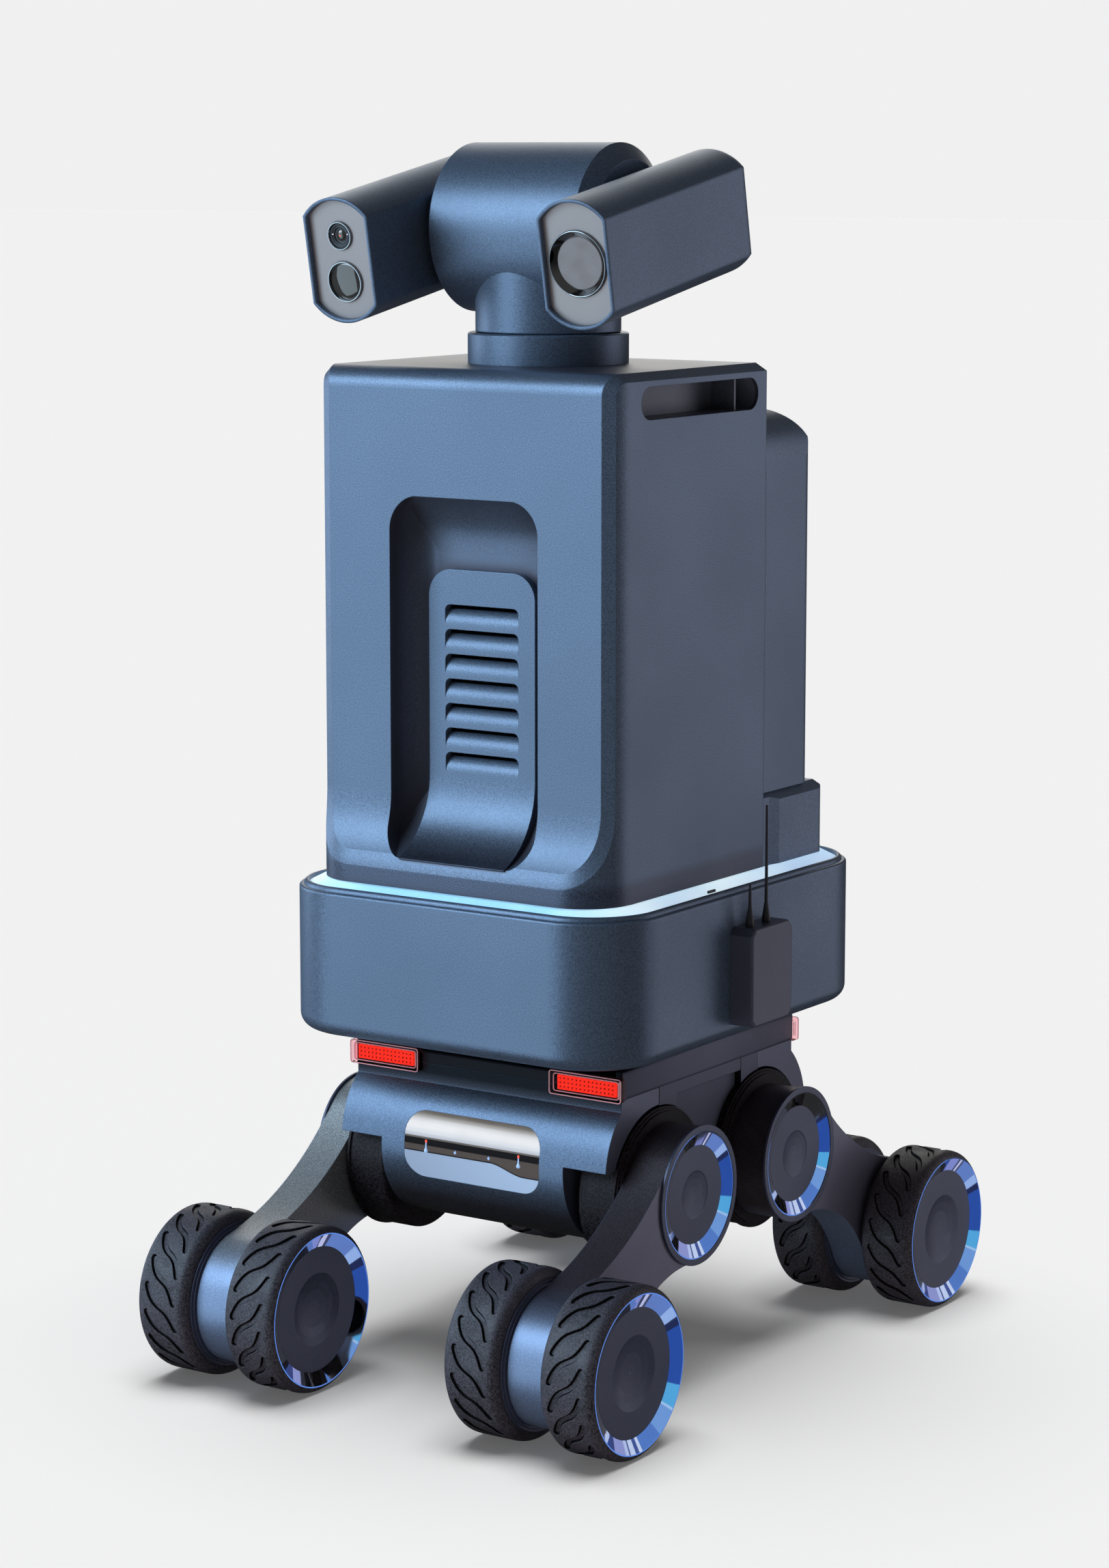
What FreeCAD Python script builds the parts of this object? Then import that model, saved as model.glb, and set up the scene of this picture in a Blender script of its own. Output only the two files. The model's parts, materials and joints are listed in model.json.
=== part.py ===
import FreeCAD, Part
import math
import os

import Sketcher
from FreeCAD import Placement, Rotation, Vector

# Self-balancing delivery and inspection robot, real size in millimetres.
# +Z is up, the robot looks along -Y, +X is the robot's own left side.
# The origin is on the floor, under the middle of the four wheel pairs.

os.makedirs("parts", exist_ok=True)
doc = FreeCAD.newDocument("self_balancing_robot")

DIMENSIONS = [
    ("tyre_rad", 82.5, "tyre outer radius, 6.5 inch hub-motor tyre"),
    ("tyre_wide", 60.0, "tyre width"),
    ("track_out", 267.0, "outer face of the outer tyres from the middle"),
    ("wheel_y", 298.0, "wheel axle from the middle, along Y"),
    ("rim_rad", 62.0, "hub barrel radius"),
    ("trim_rad", 76.0, "outer radius of the wheel's bevelled trim ring"),
    ("axle_rad", 9.0, "wheel axle radius"),
    ("run_gap", 0.05, "radial running clearance of shafts"),
    ("face_gap", 0.4, "axial gap between moving faces"),
    ("hip_y", 95.5, "hip axis from the middle, along Y"),
    ("hip_z", 198.4, "hip axis above the floor"),
    ("hip_drum", 66.5, "leg's hip drum radius"),
    ("cap_rad", 68.8, "hip cap rim radius"),
    ("hip_shaft", 20.0, "hip output shaft radius"),
    ("motor_rad", 79.0, "hip motor casing radius"),
    ("leg_in", 163.6, "inner face of the legs from the middle"),
    ("leg_out", 203.4, "outer face of the legs from the middle"),
    ("base_half", 157.0, "chassis half width"),
    ("plate_top", 318.5, "top of the chassis plate"),
    ("hood_y", 106.0, "hood axis from the middle, along Y"),
    ("hood_z", 225.0, "hood axis above the floor"),
    ("hood_rad", 82.0, "hood outer radius"),
    ("tray_half", 203.5, "tray half width"),
    ("tray_long", 243.0, "tray half length"),
    ("tray_low", 340.0, "tray underside"),
    ("tray_top", 484.0, "tray rim"),
    ("tray_corner", 76.0, "tray corner radius"),
    ("tray_wall", 5.0, "tray wall"),
    ("body_half", 173.0, "body half width"),
    ("body_front", -222.0, "front of the body's lower lip"),
    ("body_back", 73.0, "back of the body block"),
    ("body_low", 493.0, "body underside"),
    ("body_top", 993.0, "body top"),
    ("body_corner", 50.5, "radius of the body's front corners"),
    ("body_wall", 4.0, "body wall"),
    ("panel_y", -198.0, "recessed front panel"),
    ("pack_back", 166.0, "back of the rear pack"),
    ("pack_top", 946.0, "top of the rear pack"),
    ("skirt_back", 188.5, "back of the rear skirt"),
    ("skirt_top", 567.0, "top of the rear skirt"),
    ("neck_y", -52.0, "pan axis from the middle, along Y"),
    ("neck_rad", 71.0, "neck radius"),
    ("collar_rad", 78.5, "pan collar radius"),
    ("collar_top", 1023.0, "top of the pan collar"),
    ("tilt_z", 1123.0, "tilt axis above the floor"),
    ("barrel_rad", 82.0, "head barrel radius"),
    ("barrel_half", 96.5, "head barrel half length"),
    ("pod_mid", 135.0, "middle of each sensor pod, along X"),
    ("pod_wide", 75.5, "pod width"),
    ("pod_tall", 121.8, "pod height"),
    ("pod_fore", 159.7, "pod length ahead of the tilt axis"),
    ("pod_aft", 99.8, "pod length behind the tilt axis"),
    ("shaft_rad", 15.0, "tilt shaft radius"),
]
POD_TILT = 10.8

sheet = doc.addObject("Spreadsheet::Sheet", "dims")
for row, (alias, size, note) in enumerate(DIMENSIONS, 1):
    sheet.set(f"A{row}", note)
    sheet.set(f"B{row}", str(size))
    sheet.setAlias(f"B{row}", alias)
doc.recompute()


class Dim:
    """A length together with the sheet formula that drives it."""

    def __init__(self, value, formula=None):
        self.value = float(value)
        self.formula = formula or f"{float(value):.6f}"

    def __add__(self, other):
        b = dim(other)
        return Dim(self.value + b.value, f"({self.formula} + {b.formula})")

    def __sub__(self, other):
        b = dim(other)
        return Dim(self.value - b.value, f"({self.formula} - {b.formula})")

    def __mul__(self, other):
        b = dim(other)
        return Dim(self.value * b.value, f"({self.formula} * {b.formula})")

    __radd__ = __add__
    __rmul__ = __mul__

    def __rsub__(self, other):
        return dim(other) - self

    def __neg__(self):
        return self * -1.0


def dim(a):
    return a if isinstance(a, Dim) else Dim(a)


D = {alias: Dim(size, f"dims.{alias}") for alias, size, _ in DIMENSIONS}
NODES = {}


def bind(obj, prop, value):
    value = dim(value)
    obj.setExpression(prop, value.formula)
    return value.value


def place(obj, x=0, y=0, z=0, rotation=None):
    """Move an object to a point of the sheet."""
    x, y, z = dim(x), dim(y), dim(z)
    obj.Placement = Placement(
        Vector(x.value, y.value, z.value), rotation or Rotation()
    )
    for axis, value in (("x", x), ("y", y), ("z", z)):
        obj.setExpression(f"Placement.Base.{axis}", value.formula)
    return obj


def node(label, obj):
    """Name a finished piece: the label is also its file name."""
    obj.Label = label
    NODES[label] = obj
    return obj


def rod(x0, x1, y, z, r):
    """A cylinder along X."""
    obj = doc.addObject("Part::Cylinder", "rod")
    x0, x1 = dim(x0), dim(x1)
    obj.Radius = bind(obj, "Radius", r)
    obj.Height = bind(obj, "Height", x1 - x0)
    return place(obj, x0, y, z, Rotation(Vector(0, 1, 0), 90))


def post(x, y, z0, z1, r):
    """A cylinder along Z."""
    obj = doc.addObject("Part::Cylinder", "post")
    z0, z1 = dim(z0), dim(z1)
    obj.Radius = bind(obj, "Radius", r)
    obj.Height = bind(obj, "Height", z1 - z0)
    return place(obj, x, y, z0)


def bar(x, y0, y1, z, r):
    """A cylinder along Y."""
    obj = doc.addObject("Part::Cylinder", "bar")
    y0, y1 = dim(y0), dim(y1)
    obj.Radius = bind(obj, "Radius", r)
    obj.Height = bind(obj, "Height", y1 - y0)
    return place(obj, x, y0, z, Rotation(Vector(1, 0, 0), -90))


def ordered(a, b):
    a, b = dim(a), dim(b)
    return (a, b) if a.value < b.value else (b, a)


def block(x0, x1, y0, y1, z0, z1):
    obj = doc.addObject("Part::Box", "block")
    lows = []
    for prop, bounds in (("Length", (x0, x1)), ("Width", (y0, y1)), ("Height", (z0, z1))):
        low, high = ordered(*bounds)
        setattr(obj, prop, bind(obj, prop, high - low))
        lows.append(low)
    return place(obj, *lows)


def fuse(*shapes):
    obj = doc.addObject("Part::MultiFuse", "fused")
    obj.Shapes = list(shapes)
    obj.Refine = True
    return obj


def cut(base, *tools):
    for tool in tools:
        obj = doc.addObject("Part::Cut", "cut")
        obj.Base, obj.Tool = base, tool
        obj.Refine = True
        base = obj
    return base


def common(*shapes):
    obj = doc.addObject("Part::MultiCommon", "common")
    obj.Shapes = list(shapes)
    obj.Refine = True
    return obj


def new_body():
    return doc.addObject("PartDesign::Body", "body")


def draw(body, plane, points, name="outline"):
    """A closed polygon on one of the body's origin planes, each corner bound to the sheet."""
    sketch = body.newObject("Sketcher::SketchObject", name)
    support = [f for f in body.Origin.OriginFeatures if f.Role == plane][0]
    sketch.AttachmentSupport = (support, [""])
    sketch.MapMode = "FlatFace"
    points = [(dim(u), dim(v)) for u, v in points]
    flat = [Vector(u.value, v.value, 0) for u, v in points]
    count = len(flat)
    sketch.addGeometry(
        [Part.LineSegment(flat[i], flat[(i + 1) % count]) for i in range(count)]
    )
    joins = [
        Sketcher.Constraint("Coincident", i, 2, (i + 1) % count, 1)
        for i in range(count)
    ]
    sketch.addConstraint(joins)
    for i, (u, v) in enumerate(points):
        for kind, value in (("DistanceX", u), ("DistanceY", v)):
            index = sketch.addConstraint(
                Sketcher.Constraint(kind, -1, 1, i, 1, value.value)
            )
            sketch.setExpression(f"Constraints[{index}]", value.formula)
    return sketch


def pad(body, sketch, length, reversed_=False):
    feature = body.newObject("PartDesign::Pad", "pad")
    feature.Profile = sketch
    feature.Length = bind(feature, "Length", length)
    feature.Reversed = reversed_
    doc.recompute()
    return feature


def dress(body, kind, size, pick):
    """A fillet or chamfer on the edges of the body's tip that pick chooses."""
    tip = body.Tip
    names = [f"Edge{i}" for i, e in enumerate(tip.Shape.Edges, 1) if pick(e)]
    feature = body.newObject(f"PartDesign::{kind}", kind.lower())
    feature.Base = (tip, names)
    prop = "Radius" if kind == "Fillet" else "Size"
    setattr(feature, prop, bind(feature, prop, size))
    body.Tip = feature
    doc.recompute()
    return feature


def spans(edge):
    box = edge.BoundBox
    return box.XLength, box.YLength, box.ZLength


def upright(edge):
    x, y, z = spans(edge)
    return z > 1 and x < 1e-4 and y < 1e-4


def level_at(height):
    def pick(edge):
        box = edge.BoundBox
        return box.ZLength < 1e-4 and abs(box.ZMin - height) < 1e-4

    return pick


def slab(x0, x1, y0, y1, z0, z1, corner=0, top=0, bottom=0, top_kind="Fillet"):
    """A box with rounded upright corners and eased top and bottom edges."""
    body = new_body()
    sketch = draw(body, "XY_Plane", [(x0, y0), (x1, y0), (x1, y1), (x0, y1)])
    tall = dim(z1) - dim(z0)
    pad(body, sketch, tall)
    if dim(corner).value:
        dress(body, "Fillet", corner, upright)
    if dim(top).value:
        dress(body, top_kind, top, level_at(tall.value))
    if dim(bottom).value:
        dress(body, "Fillet", bottom, level_at(0.0))
    return place(body, 0, 0, z0)


def lathe(points, y, z, axis="X"):
    """A turned piece. Points are (position along the axis, radius)."""
    body = new_body()
    if axis == "X":
        sketch = draw(body, "XZ_Plane", points, "profile")
    else:
        sketch = draw(body, "XZ_Plane", [(r, a) for a, r in points], "profile")
    feature = body.newObject("PartDesign::Revolution", "turned")
    feature.Profile = sketch
    feature.ReferenceAxis = (sketch, ["H_Axis" if axis == "X" else "V_Axis"])
    feature.Angle = 360
    body.Tip = feature
    if axis == "X":
        return place(body, 0, y, z)
    return place(body, 0, y, 0)


def side_shape(points, x0, x1):
    """An outline in the side view (y, z), from x0 to x1."""
    body = new_body()
    sketch = draw(body, "YZ_Plane", points)
    x0, x1 = dim(x0), dim(x1)
    pad(body, sketch, x1 - x0)
    return place(body, x0, 0, 0)


def front_shape(points, y0, y1, corner=0, pick=None):
    """An outline in the front view (x, z), from y0 back to y1."""
    body = new_body()
    sketch = draw(body, "XZ_Plane", points)
    y0, y1 = dim(y0), dim(y1)
    pad(body, sketch, y1 - y0)
    if dim(corner).value:
        dress(body, "Fillet", corner, pick or along_y)
    return place(body, 0, y1, 0)


def along_y(edge):
    x, y, z = spans(edge)
    return y > 1 and x < 1e-4 and z < 1e-4


# ---------------------------------------------------------------- wheels
LEG_MID = (D["leg_in"] + D["leg_out"]) * 0.5
LIP = D["leg_out"] + D["face_gap"]
AXLE_END = LEG_MID * 2 - LIP - 12
DISH = [(0, 36.0), (0.5, 34.0), (1.9, 28.0), (3.4, 19.0), (4.2, 9.0), (4.4, 0)]


def turned(sx, inner, points, y, z):
    """A turned wheel piece. Inner ones are mirrored at the middle of the leg."""
    placed = []
    for x, r in points:
        x = LEG_MID * 2 - x if inner else dim(x)
        placed.append((x * sx, r))
    return lathe(placed, y, z)


def tyre(sx, inner, y):
    face, low, rad = D["track_out"], D["track_out"] - D["tyre_wide"], D["tyre_rad"]
    shoulder = [(0, 8.5), (1.5, 4.6), (4.5, 1.9), (9, 0.5), (15, 0)]
    points = [(low, D["rim_rad"])]
    points += [(low + x, rad - drop) for x, drop in shoulder]
    points += [(face - x, rad - drop) for x, drop in reversed(shoulder[1:])]
    points += [
        (face, D["trim_rad"]),
        (face - 9, D["trim_rad"]),
        (face - 9, D["rim_rad"]),
    ]
    return turned(sx, inner, points, y, rad)


def trim_ring(sx, inner, y):
    face = D["track_out"]
    points = [
        (face - 9, D["rim_rad"]),
        (face - 9, D["trim_rad"]),
        (face, D["trim_rad"]),
        (face, D["trim_rad"] - 1.2),
        (face - 6.6, D["rim_rad"]),
    ]
    return turned(sx, inner, points, y, D["tyre_rad"])


def wheel_hub(sx, inner, y):
    """The hub: a drum with a dished face. The outer one carries the axle, the inner one its socket."""
    face, low = D["track_out"] - 6.6, D["track_out"] - D["tyre_wide"]
    end = LIP + 12 if inner else AXLE_END
    points = [
        (end, 0),
        (end, D["axle_rad"]),
        (LIP, D["axle_rad"]),
        (LIP, 69.0),
        (LIP + 1.6, 69.0),
        (LIP + 1.6, 72.0),
        (low, 72.0),
        (low, D["rim_rad"]),
        (face, D["rim_rad"]),
    ]
    points += [(face - depth, r) for depth, r in DISH]
    return turned(sx, inner, points, y, D["tyre_rad"])


# ---------------------------------------------------------------- legs
def tangent_arc(c1, r1, c2, r2, radius, side):
    """Centre of the circle of that radius that touches two others from outside."""
    dy, dz = c2[0] - c1[0], c2[1] - c1[1]
    reach = math.hypot(dy, dz)
    a, b = r1 + radius, r2 + radius
    along = (a * a - b * b + reach * reach) / (2 * reach)
    off = side * math.sqrt(a * a - along * along)
    uy, uz = dy / reach, dz / reach
    return c1[0] + along * uy - off * uz, c1[1] + along * uz + off * uy


def toward(a, b, length):
    reach = math.hypot(b[0] - a[0], b[1] - a[1])
    return (
        a[0] + (b[0] - a[0]) * length / reach,
        a[1] + (b[1] - a[1]) * length / reach,
    )


def leg_arm(sx, sy):
    """Bone-shaped leg: hip drum, waisted web and axle drum, with the hip shaft and axle bore."""
    x0, x1 = D["leg_in"] * sx, D["leg_out"] * sx
    low_x, high_x = ordered(x0, x1)
    hip_y, hip_z, axle_y = D["hip_y"] * sy, D["hip_z"], D["wheel_y"] * sy
    drum = 66.0
    hip = (hip_y.value, hip_z.value)
    axle = (axle_y.value, D["tyre_rad"].value)
    upper = tangent_arc(hip, D["hip_drum"].value, axle, drum, 300.0, sy)
    lower = tangent_arc(hip, D["hip_drum"].value, axle, drum, 135.0, -sy)
    corners = [hip]
    corners.append(toward(hip, upper, D["hip_drum"].value))
    corners.append(toward(axle, upper, drum))
    corners.append(axle)
    corners.append(toward(axle, lower, drum))
    corners.append(toward(hip, lower, D["hip_drum"].value))
    web = cut(
        side_shape(corners, low_x, high_x),
        rod(low_x - 1, high_x + 1, upper[0], upper[1], 300.0),
        rod(low_x - 1, high_x + 1, lower[0], lower[1], 135.0),
    )
    shaft = ordered(D["leg_in"] * sx, Dim(125.0) * sx)
    solid = fuse(
        web,
        rod(low_x, high_x, hip_y, hip_z, D["hip_drum"]),
        rod(low_x, high_x, axle_y, D["tyre_rad"], drum),
        rod(shaft[0], shaft[1], hip_y, hip_z, D["hip_shaft"]),
    )
    seat = ordered(Dim(194.0) * sx, Dim(210.0) * sx)
    return cut(
        solid,
        rod(seat[0], seat[1], hip_y, hip_z, 64.0),
        rod(low_x - 1, high_x + 1, axle_y, D["tyre_rad"], D["axle_rad"] + D["run_gap"]),
    )


def hip_cap(sx, sy):
    face = D["leg_out"]
    points = [
        (194.0, 0),
        (194.0, 64.0),
        (face, 64.0),
        (face, D["cap_rad"]),
        (face + 2.4, D["cap_rad"]),
        (face + 2.4, 62.6),
        (198.6, 62.6),
        (198.6, 48.6),
        (200.2, 48.6),
        (200.2, 23.7),
        (199.7, 22.0),
        (198.7, 16.0),
        (197.8, 8.0),
        (197.5, 0),
    ]
    return lathe([(dim(x) * sx, r) for x, r in points], D["hip_y"] * sy, D["hip_z"])


def hip_ring(sx, sy):
    points = [(198.6, 48.6), (198.6, 62.6), (205.4, 62.6), (205.4, 61.4), (200.2, 48.6)]
    return lathe([(dim(x) * sx, r) for x, r in points], D["hip_y"] * sy, D["hip_z"])


for end, sy in (("front", -1), ("rear", 1)):
    for side, sx in (("left", 1), ("right", -1)):
        corner = f"{end}_{side}"
        y = D["wheel_y"] * sy
        for inner, word in ((False, "outer"), (True, "inner")):
            node(f"tyre_{corner}_{word}", tyre(sx, inner, y))
            node(f"hub_{corner}_{word}", wheel_hub(sx, inner, y))
        rings = fuse(trim_ring(sx, False, y), trim_ring(sx, True, y))
        node(f"trim_rings_{corner}", rings)
        node(f"leg_arm_{corner}", leg_arm(sx, sy))
        node(f"hip_cap_{corner}", hip_cap(sx, sy))
        node(f"hip_ring_{corner}", hip_ring(sx, sy))

# ---------------------------------------------------------------- chassis
HALF = D["base_half"]


def hip_drive(sy):
    """The two hip motors of one axle, joined by their tube, with the lip seals."""
    y, z = D["hip_y"] * sy, D["hip_z"]
    inner, gasket = HALF - 41, D["leg_in"] - D["face_gap"]
    half = [
        (0, 0),
        (0, 45.0),
        (inner, 45.0),
        (inner, D["motor_rad"] - 2),
        (inner + 2, D["motor_rad"]),
        (HALF, D["motor_rad"]),
        (HALF, 81.0),
        (HALF + 2.2, 81.0),
        (HALF + 2.2, 79.0),
        (HALF + 4, 79.0),
        (HALF + 4, 76.5),
        (gasket, 76.5),
        (gasket, D["hip_shaft"] + D["run_gap"]),
        (124.6, D["hip_shaft"] + D["run_gap"]),
        (124.6, 0),
    ]
    left = lathe(half, y, z)
    right = lathe([(dim(x) * -1, r) for x, r in half], y, z)
    return fuse(left, right)


def hood(sy, window):
    """T-shaped cover over one pair of hip motors: wide wings above, a barrel between them."""
    y, z, rad = D["hood_y"] * sy, D["hood_z"], D["hood_rad"]
    top = D["plate_top"] - 12.5
    front, back = Dim(160.0) * sy, Dim(62.0) * sy
    keep = block(-HALF, HALF, Dim(230.0) * sy, back, 120.0, top)
    shell = common(
        fuse(rod(-HALF, HALF, y, z, rad), block(-HALF, HALF, front, back, z + 20, top)),
        keep,
    )
    bay = fuse(
        common(
            rod(-HALF + 6.5, HALF - 6.5, y, z, rad - 5),
            block(-HALF, HALF, Dim(230.0) * sy, back * 0.9, 236.0, top - 5),
        ),
        block(-HALF + 6.5, HALF - 6.5, Dim(155.0) * sy, back * 0.9, 246.0, top - 5),
    )
    tools = [bay, rod(-104.0, 104.0, y, z, rad - 5)]
    for sx in (-1, 1):
        wing = ordered(Dim(108.0) * sx, (HALF + 1) * sx)
        tools.append(block(wing[0], wing[1], Dim(230.0) * sy, Dim(20.0) * sy, 100.0, 232.0))
        tools.append(rod(wing[0], wing[1], D["hip_y"] * sy, D["hip_z"], 83.0))
        tools.append(block(wing[0], wing[1], Dim(90.0) * sy, back * 0.9, 240.0, 286.0))
    tools.append(rod(-110.0, 110.0, D["hip_y"] * sy, D["hip_z"], 47.0))
    tools.append(block(-109.0, 109.0, Dim(70.0) * sy, back * 0.9, 228.0, 240.0))
    if window:
        tools.append(window_outline())
    return cut(shell, *tools)


def window_outline():
    """Rounded front outline of the wrap-around sensor window."""
    x, low, high = 80.0, 198.0, 263.5
    corners = [(-x, low), (x, low), (x, high), (-x, high)]
    return front_shape(corners, -200.0, -150.0, 22.0)


def sensor_window():
    y, z, rad = -D["hood_y"], D["hood_z"], D["hood_rad"]
    pane = cut(rod(-90.0, 90.0, y, z, rad), rod(-91.0, 91.0, y, z, rad - 5))
    return common(pane, window_outline())


def chassis_frame():
    """Top plate with side rails, saddles for the hip motors and the pedestal of the tray."""
    top = D["plate_top"]
    plate = slab(-HALF, HALF, -160.0, 160.0, top - 12.5, top, 6.0, 3.0)
    saddle = cut(
        block(-HALF + 7, HALF - 7, -60.0, 60.0, 160.0, top - 12.5),
        *[rod(-HALF, HALF, D["hip_y"] * s, D["hip_z"], D["motor_rad"]) for s in (-1, 1)],
        *[rod(-HALF, HALF, D["hip_y"] * s, D["hip_z"], 47.0) for s in (-1, 1)],
    )
    rails = [
        block((HALF - 12) * s, HALF * s, -61.5, 61.5, 286.0, top - 12.5) for s in (-1, 1)
    ]
    hollow = block(-HALF + 15, HALF - 15, -9.0, 9.0, 168.0, top - 20)
    wings = [
        block((HALF - 12) * s, (HALF - 47) * s, -52.0, 52.0, 286.0, top - 20) for s in (-1, 1)
    ]
    pedestal = post(0, 0, top - 1, D["tray_low"], 90.0)
    return cut(fuse(plate, saddle, *rails, pedestal), hollow, *wings)


def lamp(sx, sy):
    """A clear lamp case, open at the back for its board."""
    x = ordered(Dim(78.0) * sx, Dim(161.0) * sx)
    corners = [(x[0], 297.0), (x[1], 297.0), (x[1], 321.0), (x[0], 321.0)]
    y = ordered(Dim(160.0) * sy, Dim(168.0) * sy)
    case = front_shape(corners, y[0], y[1], 3.0)
    inside = block(x[0] + 4, x[1] - 4, Dim(159.0) * sy, Dim(165.5) * sy, 300.5, 317.5)
    return cut(case, inside)


def lamp_board(sx, sy):
    x = ordered(Dim(78.0) * sx, Dim(161.0) * sx)
    return block(x[0] + 8, x[1] - 8, Dim(160.0) * sy, Dim(164.0) * sy, 302.0, 316.0)


CORNERS = [(sx, sy) for sy in (-1, 1) for sx in (-1, 1)]
node("chassis_frame", chassis_frame())
node("hip_drive_front", hip_drive(-1))
node("hip_drive_rear", hip_drive(1))
node("hood_front", hood(-1, True))
node("hood_rear", hood(1, False))
node("sensor_window", sensor_window())
node("lamp_glasses", fuse(*[lamp(sx, sy) for sx, sy in CORNERS]))
node("lamp_boards", fuse(*[lamp_board(sx, sy) for sx, sy in CORNERS]))

# ---------------------------------------------------------------- tray
def centred(shrink, z0, z1, **dressing):
    """A rounded slab that follows the tray's outline, moved inward."""
    x, y = D["tray_half"] - shrink, D["tray_long"] - shrink
    return slab(-x, x, -y, y, z0, z1, D["tray_corner"] - shrink, **dressing)


def tray_shell():
    low, top, wall = D["tray_low"], D["tray_top"], D["tray_wall"]
    return cut(
        centred(0, low, top, top=3.0, bottom=15.0),
        centred(5.0, low + 6, top - 12),
        centred(20.0, top - 13, top + 1),
        centred(10.0, top - 6, top + 2),
    )


def led_ring():
    """Light guide round the foot of the body, with a sloped glowing face."""
    low, top = D["tray_top"] - 6, D["body_low"]
    outer = centred(10.0, low, top)
    tip = outer.Tip
    slope = outer.newObject("PartDesign::Chamfer", "slope")
    tall = (top - low).value
    names = [f"Edge{i}" for i, e in enumerate(tip.Shape.Edges, 1) if level_at(tall)(e)]
    slope.Base = (tip, names)
    slope.ChamferType = "Two distances"
    slope.Size, slope.Size2 = 8.6, 17.0
    outer.Tip = slope
    doc.recompute()
    return cut(outer, centred(30.0, low - 1, top + 1))


node("tray_shell", tray_shell())
node("led_ring", led_ring())
node("deck_plate", centred(30.0, D["tray_top"] - 6, D["body_low"]))
node("battery_pack", slab(-130.0, 130.0, -150.0, 150.0, D["tray_low"] + 6, 416.0, 12.0, 4.0))


def antenna_module():
    x0 = D["tray_half"]
    y0, y1, z0, z1, c = -39.0, 37.5, 355.0, 452.5, 7.0
    outline = [
        (y0 + c, z0),
        (y1 - c, z0),
        (y1, z0 + c),
        (y1, z1 - c),
        (y1 - c, z1),
        (y0 + c, z1),
        (y0, z1 - c),
        (y0, z0 + c),
    ]
    body = side_shape(outline, x0, x0 + 25.8)
    far = 25.8

    def outer_face(edge):
        box = edge.BoundBox
        return abs(box.XMin - far) < 1e-3 and abs(box.XMax - far) < 1e-3

    dress(body, "Fillet", 3.0, outer_face)
    return body


def whip(y, top):
    foot = 452.5
    points = [(foot, 0), (foot, 4.2), (foot + 4, 4.2), (foot + 20, 1.7), (top, 1.2), (top, 0)]
    mast = lathe(points, y, 0, "Z")
    return place(mast, 216.0, y, 0)


node("antenna_module", antenna_module())
node("antenna_whips", fuse(whip(8.0, 568.0), whip(-22.6, 494.0)))

# ---------------------------------------------------------------- body
COVE_Z, COVE_RAD = 583.0, 99.5
POCKET_Y, POCKET_Z, POCKET_RAD = -158.0, 600.0, 80.8
HEAD_Z, HEAD_RAD = 814.0, 60.0


def cove(face_y, z, rad, floor):
    """The room ahead of an upright face that curves forward at its foot."""
    over = rod(-200.0, 200.0, face_y - rad, z, rad)
    return fuse(
        block(-200.0, 200.0, -300.0, face_y, z, 1010.0),
        common(over, block(-200.0, 200.0, -300.0, face_y, floor, z)),
    )


def body_block(shrink, low):
    """The body's outline with its large front corners, moved inward."""
    x, top = D["body_half"] - shrink, D["body_top"] - shrink
    y0, y1 = D["body_front"] + shrink, D["body_back"] - shrink
    body = new_body()
    sketch = draw(body, "XY_Plane", [(-x, y0), (x, y0), (x, y1), (-x, y1)])
    pad(body, sketch, top - low)

    def front_corner(edge):
        return upright(edge) and edge.BoundBox.YMin < 0

    dress(body, "Fillet", D["body_corner"] - shrink, front_corner)
    return place(body, 0, 0, low)


def panel_room(shrink):
    """Everything cut away ahead of the recessed front panel, down to the lip."""
    return cove(D["panel_y"] + shrink, COVE_Z, COVE_RAD + shrink, 500.0)


def pocket_side(shrink, low):
    """The pocket seen from the side: a flat back that curves forward at its head and foot."""
    back = POCKET_Y + shrink
    foot = rod(-200.0, 200.0, POCKET_Y - POCKET_RAD, POCKET_Z, POCKET_RAD + shrink)
    head = rod(-200.0, 200.0, POCKET_Y - HEAD_RAD, HEAD_Z, HEAD_RAD + shrink)
    return fuse(
        block(-200.0, 200.0, -300.0, back, POCKET_Z, HEAD_Z),
        common(foot, block(-200.0, 200.0, -300.0, back, low, POCKET_Z)),
        common(head, block(-200.0, 200.0, -300.0, back, HEAD_Z, 1010.0)),
    )


def pocket_room(shrink):
    """The pocket in the front panel, with round walls and a foot that curves forward."""
    x, low, high = 86.0 + shrink, 519.0 - shrink, 871.0 + shrink
    outline = [(-x, low), (x, low), (x, high), (-x, high)]
    front = front_shape(outline, -260.0, POCKET_Y + shrink, 34.0 + shrink)

    def rear_edge(edge):
        box = edge.BoundBox
        return box.YLength < 1e-4 and box.YMax > -1e-3

    dress(front, "Fillet", 30.0 + shrink, rear_edge)
    doc.recompute()
    return common(pocket_side(shrink, low), front)


def stadium(x0, x1, rad):
    """The outline of a hand slot, from x0 to x1."""
    y0, y1, z = -138.5, 41.5, 964.0
    return fuse(
        block(x0, x1, y0, y1, z - rad, z + rad),
        rod(x0, x1, y0, z, rad),
        rod(x0, x1, y1, z, rad),
    )


def ease(kind, base, size, pick):
    """A fillet or chamfer on the chosen edges of any finished shape."""
    doc.recompute()
    obj = doc.addObject(f"Part::{kind}", kind.lower())
    obj.Base = base
    obj.Edges = [(i, size, size) for i, e in enumerate(base.Shape.Edges, 1) if pick(e)]
    doc.recompute()
    return obj


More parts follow.
